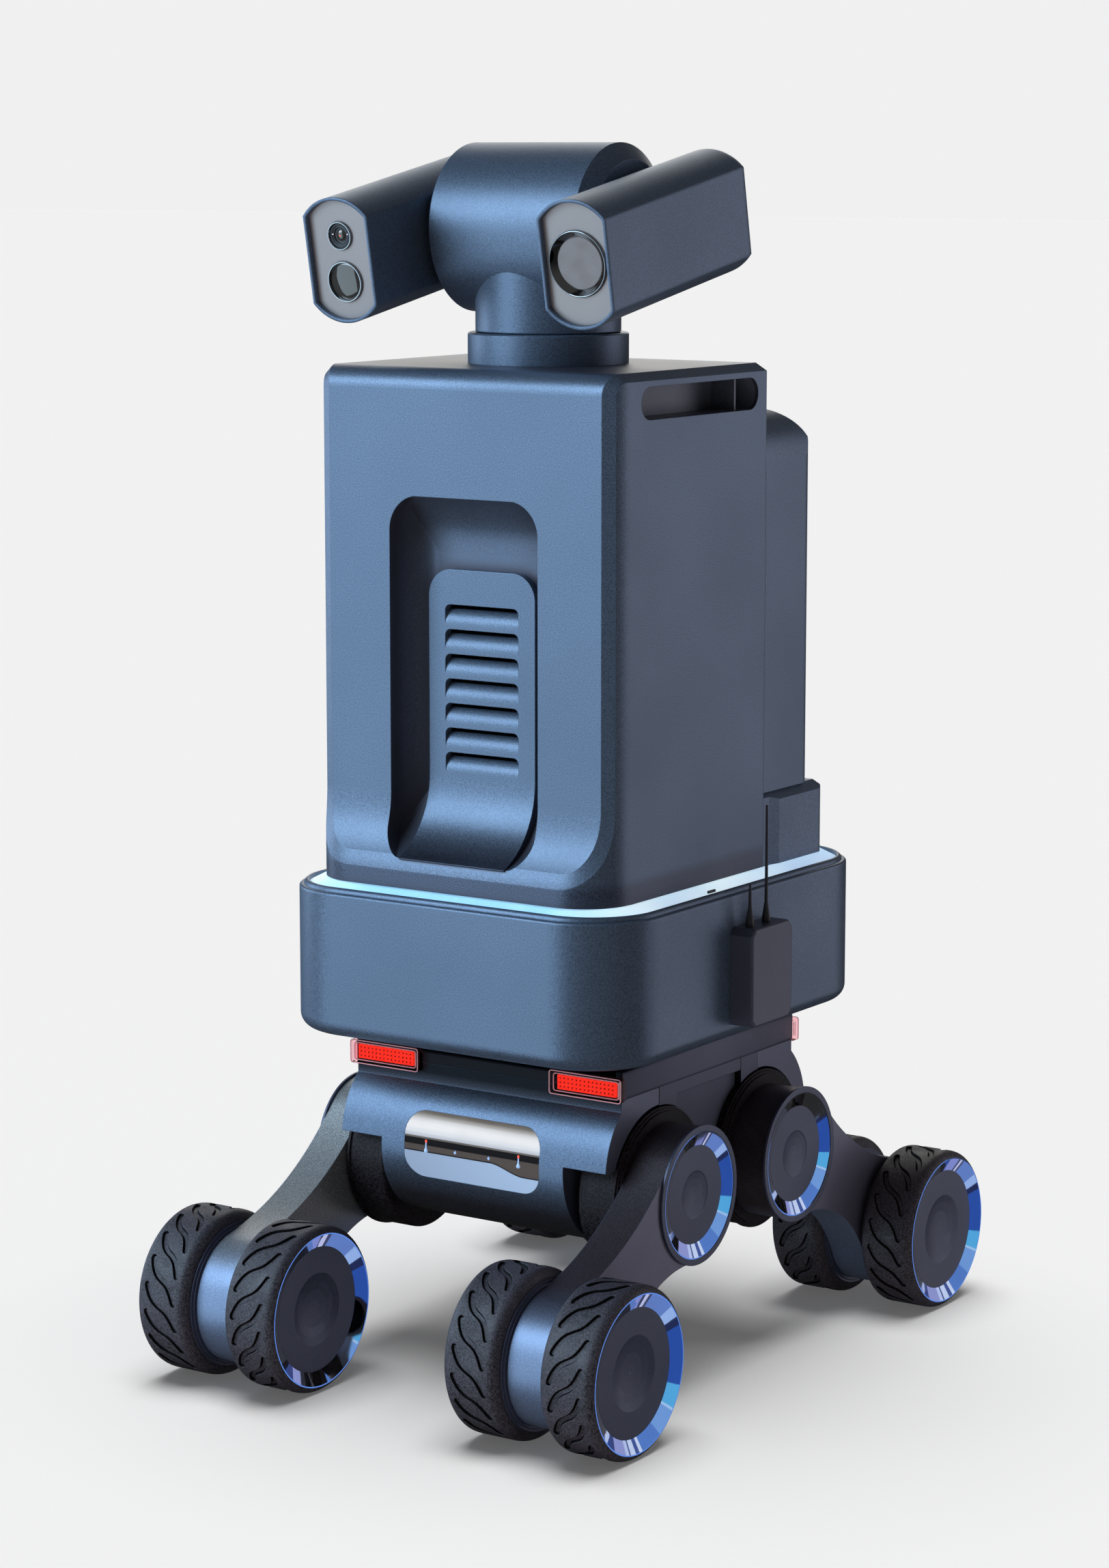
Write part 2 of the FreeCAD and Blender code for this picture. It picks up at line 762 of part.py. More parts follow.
def eased_block(shrink, low):
    """The body's outline with its recessed front, rounded brow and bevelled borders."""
    raw = cut(body_block(shrink, low), panel_room(shrink))
    top = D["body_top"].value - shrink

    def brow(edge):
        box = edge.BoundBox
        return box.ZMin > top - 0.1 and box.YMax < -180 and box.XLength > 200

    rounded = ease("Fillet", raw, 20.0 - shrink, brow)

    def border(edge):
        """The panel's sides, foot corners and lip, and the top's sides and back."""
        box = edge.BoundBox
        across = box.XLength > 100 and box.YMax < 0
        lip = across and box.ZMin > 505 and box.ZMax < 540
        front = box.YMax < -170 and box.ZMin > 505
        return lip or (not across and (front or box.ZMin > top - 0.1))

    return ease("Chamfer", rounded, 8.0, border)


def body_shell():
    wall = D["body_wall"].value
    room = cut(eased_block(wall, D["body_low"] - 1), pocket_room(wall))
    slots = [stadium(*ordered(Dim(160.0) * s, Dim(180.0) * s), 15.5) for s in (-1, 1)]
    vent = block(-44.0, 44.0, -170.0, -140.0, 590.0, 772.0)
    return cut(eased_block(0, D["body_low"]), pocket_room(0), room, *slots, vent)


def louvre_panel():
    outline = [(-62.0, 521.0), (62.0, 521.0), (62.0, 799.0), (-62.0, 799.0)]

    def top_corner(edge):
        return along_y(edge) and edge.BoundBox.ZMin > 700

    front = front_shape(outline, -220.5, POCKET_Y + 1, 26.0, top_corner)
    face = POCKET_Y - 9
    panel = cut(
        common(front, pocket_room(0)),
        cove(face, POCKET_Z, POCKET_RAD + 2.7, 519.0),
    )
    louvres = []
    for i in range(7):
        high = 765.0 - 24.0 * i
        hole = [(-42.7, high - 20), (42.7, high - 20), (42.7, high), (-42.7, high)]

        def upper(edge, high=high):
            return along_y(edge) and edge.BoundBox.ZMin > high - 1

        gap = front_shape(hole, face - 1, POCKET_Y + 2, 6.0, upper)
        slat = rod(-43.2, 43.2, face + 18.0, high - 20, 18.0)
        louvres.append(cut(gap, slat))
    return cut(panel, *louvres)


def handle_cup(sx):
    outer = stadium(*ordered(Dim(133.0) * sx, Dim(169.0) * sx), 16.9)
    inner = stadium(*ordered(Dim(136.0) * sx, Dim(175.0) * sx), 15.5)
    rib = block(Dim(135.0) * sx, Dim(163.0) * sx, 28.0, 31.0, 948.0, 980.0)
    return fuse(cut(outer, inner), rib)


def rear_pack_shape(shrink):
    """The rear pack as the meeting of its side, front and top outlines."""
    x = D["body_half"] - shrink
    y0, y1 = D["body_back"], D["pack_back"] - shrink
    low, high, round_ = D["skirt_top"] + shrink, D["pack_top"] - shrink, 52.0 - shrink
    side = side_shape([(y0, low), (y1, low), (y1, high), (y0, high)], -x, x)

    def top_back(edge):
        box = edge.BoundBox
        return box.XLength > 100 and box.ZMin > 900 and box.YMin > 100

    dress(side, "Fillet", round_, top_back)

    def top_corner(edge):
        return along_y(edge) and edge.BoundBox.ZMin > 700

    front = front_shape([(-x, low), (x, low), (x, high), (-x, high)], y0, y1, round_, top_corner)
    plan = new_body()
    sketch = draw(plan, "XY_Plane", [(-x, y0), (x, y0), (x, y1), (-x, y1)])
    pad(plan, sketch, high - low)

    def back_corner(edge):
        return upright(edge) and edge.BoundBox.YMin > 100

    dress(plan, "Fillet", 16.0 - shrink, back_corner)
    place(plan, 0, 0, low)
    return common(side, front, plan)


def rear_skirt():
    """Bulge at the foot of the rear pack, bevelled along its top."""
    x, y0, y1 = D["body_half"], D["body_back"], D["skirt_back"]
    low, high, proud, bevel = D["body_low"], D["skirt_top"], 3.5, 9.0
    right = [(x, y0), (x, y0 + 11), (x + proud, y0 + 26), (x + proud, y1)]
    outline = right + [(u * -1, v) for u, v in reversed(right)]
    plan = new_body()
    pad(plan, draw(plan, "XY_Plane", outline), high - low)

    def back_corner(edge):
        return upright(edge) and edge.BoundBox.YMin > 180

    dress(plan, "Fillet", 12.0, back_corner)
    place(plan, 0, 0, low)
    wide = x + proud
    front = [(wide, low), (wide, high - bevel), (wide - bevel, high)]
    front += [(u * -1, v) for u, v in reversed(front)]
    side = [(y0, low), (y1, low), (y1, high - bevel), (y1 - bevel, high), (y0, high)]
    whole = common(plan, front_shape(front, y0, y1), side_shape(side, wide * -1, wide))
    return cut(whole, block(-x + 5, x - 5, y0 - 1, y1 - 6, low - 1, high - 12))


node("body_shell", body_shell())
node("louvre_panel", louvre_panel())
node("handle_cups", fuse(handle_cup(-1), handle_cup(1)))
node("rear_pack", cut(rear_pack_shape(0), rear_pack_shape(3)))
node("rear_skirt", rear_skirt())
node("control_unit", slab(-100.0, 100.0, -110.0, 40.0, D["body_low"], 545.0, 6.0, 3.0))

# ---------------------------------------------------------------- head
NECK_Y, TILT_Z = D["neck_y"], D["tilt_z"]
collar_top, body_top = D["collar_top"], D["body_top"]
node(
    "pan_collar",
    lathe(
        [
            (body_top, 30.0 + D["run_gap"]),
            (body_top, D["collar_rad"]),
            (collar_top - 1.5, D["collar_rad"]),
            (collar_top, D["collar_rad"] - 1.5),
            (collar_top, 30.0 + D["run_gap"]),
        ],
        NECK_Y,
        0,
        "Z",
    ),
)


def head_housing():
    """Neck with its pan journal, and the barrel that the tilt shaft runs through."""
    foot = collar_top + D["face_gap"]
    neck = lathe(
        [
            (body_top + 3, 0),
            (body_top + 3, 30.0),
            (foot, 30.0),
            (foot, D["neck_rad"] - 1),
            (foot + 1, D["neck_rad"]),
            (TILT_Z - 40, D["neck_rad"]),
            (TILT_Z - 40, 0),
        ],
        NECK_Y,
        0,
        "Z",
    )
    half, rad = D["barrel_half"], D["barrel_rad"]
    straight = half - 13
    barrel = lathe(
        [
            (-half, 0),
            (-half, rad - 16),
            (-straight, rad),
            (straight, rad),
            (half, rad - 16),
            (half, 0),
        ],
        NECK_Y,
        TILT_Z,
    )
    return cut(
        fuse(neck, barrel),
        rod(-straight + 2, straight - 2, NECK_Y, TILT_Z, rad - 6),
        post(0, NECK_Y, foot + 8, TILT_Z - 30, D["neck_rad"] - 6),
        rod(-half - 1, half + 1, NECK_Y, TILT_Z, D["shaft_rad"] + D["run_gap"]),
    )


def pod_section(shrink, y0, y1):
    """The pod's outline: two flats joined by wide arcs, about its own middle."""
    x, z = D["pod_wide"] * 0.5 - shrink, D["pod_tall"] * 0.5 - shrink
    rad = 48.0 - shrink
    off = z - rad
    return common(
        block(-x, x, y0, y1, -z, z),
        fuse(
            bar(0, y0, y1, off, rad),
            bar(0, y0, y1, -off, rad),
            block(-rad, rad, y0, y1, -off, off),
        ),
    )


def aim(shape, sx):
    """Carry a piece built about the tilt axis to its pod, at the rest tilt."""
    doc.recompute()
    spin = Rotation(Vector(1, 0, 0), POD_TILT)
    return place(shape, D["pod_mid"] * sx, NECK_Y, TILT_Z, spin)


FORE, AFT = D["pod_fore"] * -1, D["pod_aft"]


def pod(sx):
    near = D["pod_wide"] * 0.5
    wall = ordered(near * -1 * sx, (near * -1 + 8) * sx)

    def rear_edge(edge):
        return edge.BoundBox.YMin > AFT.value - 0.1

    shell = cut(
        ease("Fillet", pod_section(0, FORE, AFT), 16.0, rear_edge),
        pod_section(3.0, FORE - 1, FORE + 9),
        pod_section(4.2, FORE + 8, AFT - 9),
        rod(wall[0] - 1, wall[1] + 1, 0, 0, D["shaft_rad"]),
    )
    return aim(shell, sx)


def face_plate(sx):
    plate = pod_section(3.0, FORE + 6, FORE + 9)
    if sx > 0:
        holes = [bar(0, FORE + 5, FORE + 10, 0, 31.5)]
    else:
        holes = [
            bar(0, FORE + 5, FORE + 10, 23.0, 14.0),
            bar(0, FORE + 5, FORE + 10, -21.5, 20.0),
        ]
    return aim(cut(plate, *holes), sx)


def lens(z, rad):
    """A bezel with a glass set a little back in it."""
    return cut(
        bar(0, FORE + 3.2, FORE + 16, z, rad),
        bar(0, FORE + 3, FORE + 5, z, rad - 2.6),
    )


node("head_housing", head_housing())
node("pod_left", pod(1))
node("pod_right", pod(-1))
near = D["pod_mid"] - D["pod_wide"] * 0.5 + 4.2
flange = [(near, 15.0), (near, 26.0), (near + 4, 26.0), (near + 4, 0)]
mirrored = [(x * -1, r) for x, r in reversed(flange)]
node("tilt_shaft", lathe(mirrored + flange, NECK_Y, TILT_Z))
node("face_plates", fuse(face_plate(1), face_plate(-1)))
node("beam_lens", aim(lens(0, 31.5), 1))
node("camera_lenses", aim(fuse(lens(23.0, 14.0), lens(-21.5, 20.0)), -1))

# ---------------------------------------------------------------- check and export
doc.recompute()
for obj in doc.Objects:
    if "Invalid" in obj.State or "Error" in obj.State:
        raise RuntimeError(f"{obj.Label} did not build: {obj.State}")
for label, obj in NODES.items():
    shape = obj.Shape
    if shape.isNull() or not shape.isValid() or not shape.Solids:
        raise RuntimeError(f"{label} is not a valid solid")
    shape.exportStep(f"parts/{label}.step")
    box = shape.BoundBox
    print(
        f"{label}: {len(shape.Solids)} solids, {shape.Volume / 1000:.1f} cm3, "
        f"x {box.XMin:.1f}..{box.XMax:.1f} y {box.YMin:.1f}..{box.YMax:.1f} "
        f"z {box.ZMin:.1f}..{box.ZMax:.1f}"
    )
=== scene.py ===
"""Looks of the self balancing robot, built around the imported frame, in metres."""

import json
import math

import bpy
from mathutils import Matrix, Vector


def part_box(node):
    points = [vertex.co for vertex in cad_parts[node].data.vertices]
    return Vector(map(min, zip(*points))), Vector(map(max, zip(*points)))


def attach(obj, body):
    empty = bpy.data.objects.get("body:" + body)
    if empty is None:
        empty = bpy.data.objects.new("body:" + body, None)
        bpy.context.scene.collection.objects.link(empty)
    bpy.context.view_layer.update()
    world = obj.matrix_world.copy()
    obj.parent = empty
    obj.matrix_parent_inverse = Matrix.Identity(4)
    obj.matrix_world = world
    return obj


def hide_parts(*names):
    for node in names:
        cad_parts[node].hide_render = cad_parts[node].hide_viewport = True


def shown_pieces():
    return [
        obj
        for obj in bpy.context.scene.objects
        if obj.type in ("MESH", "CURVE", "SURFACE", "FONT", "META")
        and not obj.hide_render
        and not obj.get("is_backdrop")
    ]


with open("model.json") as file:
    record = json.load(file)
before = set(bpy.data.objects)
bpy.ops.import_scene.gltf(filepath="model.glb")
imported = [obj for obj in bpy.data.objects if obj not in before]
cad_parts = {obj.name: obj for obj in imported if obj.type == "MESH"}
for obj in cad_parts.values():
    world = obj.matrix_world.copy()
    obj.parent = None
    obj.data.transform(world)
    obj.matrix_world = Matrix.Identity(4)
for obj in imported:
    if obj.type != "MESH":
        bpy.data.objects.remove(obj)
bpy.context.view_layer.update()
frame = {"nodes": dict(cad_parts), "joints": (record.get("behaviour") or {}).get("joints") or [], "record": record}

MM = 0.001
CORNERS = ("front_left", "front_right", "rear_left", "rear_right")
BOTH = (-1, 1)
JOINTS = {joint["name"]: joint for joint in frame["joints"]}


# ---------------------------------------------------------------- meshes
def piece(name, verts, faces, body, slot, look, sharp=32.0, second_look=None):
    """A mesh piece that rides on a body, smooth but for edges sharper than the angle."""
    mesh = bpy.data.meshes.new(name)
    mesh.from_pydata(verts, [], faces)
    mesh.validate()
    mesh.shade_smooth()
    mesh.set_sharp_from_angle(angle=math.radians(sharp))
    obj = bpy.data.objects.new(name, mesh)
    bpy.context.scene.collection.objects.link(obj)
    mesh.materials.append(look)
    if second_look:
        mesh.materials.append(second_look)
    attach(obj, body)
    return obj


def metres(pairs):
    """Pairs written in millimetres, turned into metres."""
    return [(a * MM, b * MM) for a, b in pairs]


def quads(rows, per, closed=True, flip=False):
    """Quads between neighbouring rows of verts. Each row closes on itself; the rows may too."""
    faces = []
    for row in range(rows if closed else rows - 1):
        after = (row + 1) % rows
        for k in range(per):
            m = (k + 1) % per
            a, b, c, d = row * per + k, after * per + k, after * per + m, row * per + m
            faces.append((a, d, c, b) if flip else (a, b, c, d))
    return faces


def end_caps(rows, per):
    """Flat faces that close the first and the last row."""
    last = (rows - 1) * per
    return [tuple(range(per))[::-1], tuple(range(last, last + per))]


def inside_out(faces):
    """The same faces, looking the other way."""
    return [face[::-1] for face in faces]


def spun(outline, place, segments):
    """Verts of an outline of (along, radius) carried round the X axis of a place."""
    verts = []
    for i in range(segments):
        angle = 2 * math.pi * i / segments
        for along, radius in outline:
            spot = Vector((along, radius * math.cos(angle), radius * math.sin(angle)))
            verts.append(tuple(place @ spot))
    return verts


def turned(outline, place, segments=128):
    """A closed outline of (along, radius) turned about the X axis of a place."""
    return spun(outline, place, segments), quads(segments, len(outline))


def disc(outline, place, segments=96):
    """Like turned, for an outline that starts and ends on the axis."""
    count = len(outline) - 2
    verts = spun(outline[1:-1], place, segments)
    first, last = len(verts), len(verts) + 1
    for along, _ in (outline[0], outline[-1]):
        verts.append(tuple(place @ Vector((along, 0, 0))))
    faces = []
    for i in range(segments):
        j = (i + 1) % segments
        for k in range(count - 1):
            faces.append((i * count + k, j * count + k, j * count + k + 1, i * count + k + 1))
        faces.append((first, j * count, i * count))
        faces.append((i * count + count - 1, j * count + count - 1, last))
    return verts, faces


def swept(path, across, section):
    """A closed outline of (outward, up) carried round a flat closed path; up is the across axis."""
    verts = []
    across = Vector(across)
    for i, here in enumerate(path):
        here = Vector(here)
        to_last = (here - Vector(path[i - 1])).normalized()
        to_next = (Vector(path[(i + 1) % len(path)]) - here).normalized()
        outward = (to_last + to_next).normalized().cross(across)
        for out, up in section:
            verts.append(tuple(here + outward * out + across * up))
    return verts, quads(len(path), len(section))


def rounded_frame(half_x, half_y, radius, steps):
    """Corner-rounded rectangle about the origin, counter-clockwise, as (x, y) pairs."""
    points = []
    for quarter, (sx, sy) in enumerate(((1, 1), (-1, 1), (-1, -1), (1, -1))):
        for k in range(steps + 1):
            angle = math.pi / 2 * (quarter + k / steps)
            points.append((sx * (half_x - radius) + radius * math.cos(angle),
                           sy * (half_y - radius) + radius * math.sin(angle)))
    return points


def joined(parts):
    """Several (verts, faces) lists as one."""
    verts, faces = [], []
    for more, skin in parts:
        base = len(verts)
        verts += more
        faces += [tuple(base + i for i in face) for face in skin]
    return verts, faces


# ---------------------------------------------------------------- how a material is built
def tone(colour, factor=1.0):
    """A colour made lighter or darker, with its alpha."""
    return tuple(min(1.0, c * factor) for c in colour) + (1.0,)


class Look:
    """One procedural material, built node by node around its shader."""

    BEVEL_SAMPLES = 6
    # Range of the edge mask for lighter edges: partly worn, partly a painted highlight.
    SHEEN_AND_WEAR_EDGE = (0.99, 0.8)

    def __init__(self, name):
        self.material = bpy.data.materials.new(name)
        self.material.use_nodes = True
        self.tree = self.material.node_tree
        self.shader = self.tree.nodes["Principled BSDF"]
        self.place = self.add("ShaderNodeTexCoord").outputs["Object"]

    def add(self, kind, **settings):
        node = self.tree.nodes.new(kind)
        for key, value in settings.items():
            setattr(node, key, value)
        return node

    def feed(self, socket, value):
        """Links an output to a socket, or sets the socket to a plain value."""
        if isinstance(value, bpy.types.NodeSocket):
            self.tree.links.new(value, socket)
        else:
            socket.default_value = value

    def set(self, **values):
        """Feeds the shader; an underscore stands for a space in a socket's name."""
        for key, value in values.items():
            self.feed(self.shader.inputs[key.replace("_", " ")], value)

    def split(self, vector):
        """The X, Y and Z outputs of a vector."""
        node = self.add("ShaderNodeSeparateXYZ")
        self.feed(node.inputs["Vector"], vector)
        return node.outputs

    def noise(self, scale, detail=2.0):
        """Noise through the object, with about as many swells to a metre as the scale."""
        node = self.add("ShaderNodeTexNoise")
        self.feed(node.inputs["Vector"], self.place)
        node.inputs["Scale"].default_value = scale
        node.inputs["Detail"].default_value = detail
        return node.outputs["Fac"]

    def span(self, value, low, high, to_low=0.0, to_high=1.0, **settings):
        """The value, with low to high stretched over to_low to to_high and held there."""
        node = self.add("ShaderNodeMapRange", **settings)
        for socket, number in zip(node.inputs, (value, low, high, to_low, to_high)):
            self.feed(socket, number)
        return node.outputs["Result"]

    def math(self, operation, a, b=0.0):
        node = self.add("ShaderNodeMath", operation=operation)
        self.feed(node.inputs[0], a)
        self.feed(node.inputs[1], b)
        return node.outputs["Value"]

    def mix(self, factor, a, b):
        node = self.add("ShaderNodeMix", data_type="RGBA")
        self.feed(node.inputs["Factor"], factor)
        self.feed(node.inputs["A"], a)
        self.feed(node.inputs["B"], b)
        return node.outputs["Result"]

    def patches(self, height, low, high, share, body, other):
        """The body colour, with up to a share of the other one where the height is high."""
        return self.mix(self.span(height, low, high, 0.0, share), body, other)

    def eased(self, radius):
        """The normal with softened edges, and a mask that is high along those edges."""
        bevel = self.add("ShaderNodeBevel", samples=self.BEVEL_SAMPLES)
        bevel.inputs["Radius"].default_value = radius
        plain = self.add("ShaderNodeNewGeometry")
        dot = self.add("ShaderNodeVectorMath", operation="DOT_PRODUCT")
        self.feed(dot.inputs[0], bevel.outputs["Normal"])
        self.feed(dot.inputs[1], plain.outputs["Normal"])
        return bevel.outputs["Normal"], self.span(dot.outputs["Value"], *self.SHEEN_AND_WEAR_EDGE)

    def hollows(self, normal, reach, openness):
        """A mask that is high where the surface is shut in within the reach, for painting shade into hollows."""
        sky = self.add("ShaderNodeAmbientOcclusion", samples=12)
        sky.inputs["Distance"].default_value = reach
        self.feed(sky.inputs["Normal"], normal)
        return self.span(sky.outputs["AO"], *openness, 1.0, 0.0)

    def bump(self, height, strength, distance, normal=None):
        node = self.add("ShaderNodeBump")
        node.inputs["Strength"].default_value = strength
        node.inputs["Distance"].default_value = distance
        self.feed(node.inputs["Height"], height)
        if normal:
            self.feed(node.inputs["Normal"], normal)
        return node.outputs["Normal"]


# ---------------------------------------------------------------- kinds of material
# Noise scales, in swells to a metre, and the range that most noise keeps to.
DRIFT, DUST, SMEAR, HAZE, RUBBED = 5.0, 22.0, 30.0, 40.0, 60.0
RIPPLE, CELLS, HAIRLINES, RUBBER_GRAIN = 200.0, 300.0, 500.0, 650.0
SWING = (0.3, 0.7)

# Where one painted shade gives way to another (by height, on faces square to X, in hollows), and how much grainier
# a painted zone is.
DRIFT_SHARE = 0.16
PAINTED_ZONE_GRAIN = 1.6
SIDE_ON = (0.7, 0.95)
CAVITY_OPENNESS = (0.58, 0.92)
CAVITY_REACH = 110.0 * MM

# Widths of eased edges and depths of fine relief.
PAINT_GRAIN_DEEP = 0.12 * MM
RUBBER_EASE = 0.5 * MM
RUBBER_GRAIN_DEEP = 0.25 * MM
FINE_MARKS_DEEP = 0.05 * MM
SOFT_MARKS_DEEP = 0.1 * MM


def sparkling(look, speckle, shade, grain):
    """A shade that goes darker and lighter by the grain."""
    return look.mix(speckle, tone(shade, 1 - grain), tone(shade, 1 + grain))


def coated(name, colour, metallic, roughness, grain=0.16, scale=950.0, edge=1.9,
           edge_wear_and_sheen=0.55, ease=1.1, relief=0.25, painted_zones=(), flank=None, hollow_shade=None, shine=0.5):
    """Satin paint or anodising: fine sparkle, slow drift of gloss, lighter edges that are partly worn and partly a
    painted highlight.

    A zone is painted shade or light by height: the height where it starts, the height where it is full, and its
    colour.
    The flank is a painted shade on faces square to X, and the hollow shade is painted shade in deep hollows.
    """
    look = Look(name)
    fine = look.noise(scale, 1.5)
    drift = look.noise(DRIFT, 3.0)
    normal, rim = look.eased(ease * MM)
    speckle = look.span(fine, 0.36, 0.64)
    body = sparkling(look, speckle, colour, grain)
    body = look.patches(drift, 0.35, 0.65, DRIFT_SHARE, body, tone(colour, 0.8))
    # Painted shade or light by height.
    for start, full, shade in painted_zones:
        inside = look.span(look.split(look.place)["Z"], start, full)
        body = look.mix(inside, body, sparkling(look, speckle, shade, grain * PAINTED_ZONE_GRAIN))
    # Painted shade on faces square to X, for how light falls on the sides.
    if flank:
        normals = look.add("ShaderNodeTexCoord").outputs["Normal"]
        facing = look.math("ABSOLUTE", look.split(normals)["X"])
        body = look.mix(look.span(facing, *SIDE_ON), body, tone(flank))
    # Painted shade in hollows, where light is shut out.
    if hollow_shade:
        body = look.mix(look.hollows(normal, CAVITY_REACH, CAVITY_OPENNESS), body, tone(hollow_shade))
    # Lighter edges: partly worn paint, partly a painted highlight along the edges.
    sheen_and_wear = look.span(look.noise(RUBBED, 3.0), *SWING, edge_wear_and_sheen * 0.5, edge_wear_and_sheen)
    gloss = look.math(
        "ADD",
        look.span(fine, *SWING, roughness - 0.05, roughness + 0.05),
        look.span(drift, *SWING, -0.03, 0.04),
    )
    look.set(
        Base_Color=look.mix(look.math("MULTIPLY", rim, sheen_and_wear), body, tone(colour, edge)),
        Metallic=metallic,
        Roughness=gloss,
        Specular_IOR_Level=shine,
        Normal=look.bump(fine, relief, PAINT_GRAIN_DEEP, normal),
    )
    return look.material


def rubber(name, dark, pale, shine=0.5):
    """Black tyre rubber: mould grain, a little dust, lighter tread edges that are partly worn and partly a painted
    highlight.
    """
    look = Look(name)
    fine = look.noise(RUBBER_GRAIN, 3.0)
    dust = look.noise(DUST, 4.0)
    normal, rim = look.eased(RUBBER_EASE)
    body = look.patches(fine, 0.35, 0.65, 1.0, tone(dark), tone(pale))
    body = look.patches(dust, 0.5, 0.75, 0.25, body, tone(pale, 1.4))
    look.set(
        Base_Color=look.patches(rim, 0.0, 1.0, 0.35, body, tone(pale, 2.2)),
        Roughness=look.span(look.noise(RUBBED), *SWING, 0.5, 0.68),
        Specular_IOR_Level=shine,
        Normal=look.bump(fine, 0.9, RUBBER_GRAIN_DEEP, normal),
    )
    return look.material


def polished(name, colour, roughness):
    """Plated metal: fine marks and a faint haze."""
    look = Look(name)
    haze = look.noise(HAZE, 3.0)
    marks = look.noise(HAIRLINES, 1.0)
    look.set(
        Base_Color=look.patches(haze, 0.35, 0.7, 0.25, tone(colour), tone(colour, 0.82)),
        Metallic=1.0,
        Roughness=look.span(haze, *SWING, roughness * 0.6, roughness * 1.5),
        Normal=look.bump(marks, 0.02, FINE_MARKS_DEEP),
    )
    return look.material


def glass(name, colour, roughness, ior, through=1.0, metallic=0.0):
    """Smooth glass or clear plastic with faint smears."""
    look = Look(name)
    smear = look.noise(SMEAR, 4.0)
    look.set(
        Base_Color=look.patches(smear, 0.4, 0.7, 0.2, tone(colour), tone(colour, 0.9)),
        Transmission_Weight=through,
        Metallic=metallic,
        Roughness=look.span(smear, *SWING, roughness * 0.5, roughness * 1.8),
        IOR=ior,
        Normal=look.bump(look.noise(RIPPLE), 0.02, FINE_MARKS_DEEP),
    )
    return look.material


def glowing(name, colour, strength, dim, shine=0.5):
    """A lit surface with slightly uneven light."""
    look = Look(name)
    cells = look.noise(CELLS, 1.0)
    look.set(
        Base_Color=look.mix(cells, tone(colour, dim), tone(colour)),
        Emission_Color=look.patches(cells, *SWING, 1.0, tone(colour, dim), tone(colour)),
        Emission_Strength=strength,
        Specular_IOR_Level=shine,
        Roughness=look.span(cells, *SWING, 0.25, 0.4),
        Normal=look.bump(cells, 0.1, SOFT_MARKS_DEEP),
    )
    return look.material


# ---------------------------------------------------------------- paints
GRAIN = 1000.0
SATIN = {"metallic": 0.6, "roughness": 0.42, "grain": 0.34, "scale": GRAIN, "relief": 0.6}
LEG_SATIN = {**SATIN, "grain": 0.24, "relief": 0.4, "edge": 1.6}
NAVY = (0.108, 0.143, 0.210)
HOOD_NAVY = (0.122, 0.160, 0.236)
DRUM = (0.175, 0.22, 0.335)
# Painted side shade: the colour of faces square to X on the frame, rails and hoods, for how light falls on those
# sides.
PAINTED_SIDE_SHADE = (0.115, 0.118, 0.168)
# Painted side shade for the faces of the left leg arms that are square to X.
PAINTED_LEG_SIDE_SHADE = (0.145, 0.140, 0.195)
# Painted shade: darker hollows in the body, and a darker band at the body's foot.
BODY_HOLLOW_SHADE = (0.064, 0.061, 0.084)
BODY_FOOT_SHADE = (0.518, 0.508, (0.066, 0.080, 0.122))
# Painted shade at the foot of the louvre panel.
PANEL_FOOT_SHADE = (0.556, 0.526, (0.040, 0.044, 0.066))
# Painted shade on the hoods: darker towards the top, near black at the crest, and darker on the underside.
HOOD_TOP_SHADE = (0.268, 0.290, (0.045, 0.048, 0.064))
HOOD_CREST_SHADE = (0.286, 0.297, (0.007, 0.008, 0.011))
HOOD_FOOT_SHADE = (0.220, 0.175, (0.046, 0.043, 0.053))
# Painted shade on the upper left leg arms, and painted light on the upper right ones.
LEG_TOP_SHADE = (0.122, 0.152, (0.064, 0.050, 0.060))
RIGHT_LEG_TOP_LIGHT = (0.122, 0.152, (0.30, 0.30, 0.31))

BLUE = coated("blue_paint", NAVY, **SATIN)
# The frame's near-black is partly its own dark paint and partly painted shade.
FRAME = coated("frame_paint", (0.009, 0.009, 0.013), 0.3, 0.5, flank=PAINTED_SIDE_SHADE, shine=0.12)
BODY = coated("body_paint", NAVY, **SATIN, painted_zones=(BODY_FOOT_SHADE,), hollow_shade=BODY_HOLLOW_SHADE)
PANEL = coated("panel_paint", NAVY, **SATIN, painted_zones=(PANEL_FOOT_SHADE,))
HOOD = coated("hood_paint", HOOD_NAVY, **SATIN, painted_zones=(HOOD_TOP_SHADE, HOOD_CREST_SHADE, HOOD_FOOT_SHADE),
              flank=PAINTED_SIDE_SHADE, shine=0.12)
# Two copies of one leg paint: a shaded one for the left legs and a lit one for the right legs.
SHADED_ARM = coated("arm_paint", DRUM, **LEG_SATIN, painted_zones=(LEG_TOP_SHADE,), flank=PAINTED_LEG_SIDE_SHADE)
LIT_RIGHT_ARM = coated("lit_right_arm_paint", DRUM, **LEG_SATIN, painted_zones=(RIGHT_LEG_TOP_LIGHT,))
PODS = coated("pod_paint", NAVY, **SATIN, edge_wear_and_sheen=0.3, ease=4.5)
CASE = coated("antenna_case", (0.070, 0.074, 0.112), 0.3, 0.42, grain=0.2, scale=GRAIN, edge=2.6)
DISC = coated("disc_black", (0.064, 0.071, 0.118), 0.4, 0.42, grain=0.2, edge=1.8)
CUP = coated("cup_paint", (0.11, 0.115, 0.15), 0.4, 0.42)
PLATE = coated("face_plate", (0.28, 0.245, 0.245), 0.35, 0.42, grain=0.05, edge=1.2)
MOTOR = coated("motor_black", (0.017, 0.012, 0.015), 0.1, 0.55, grain=0.85, scale=430.0,
               edge=3.0, relief=1.1, shine=0.2)
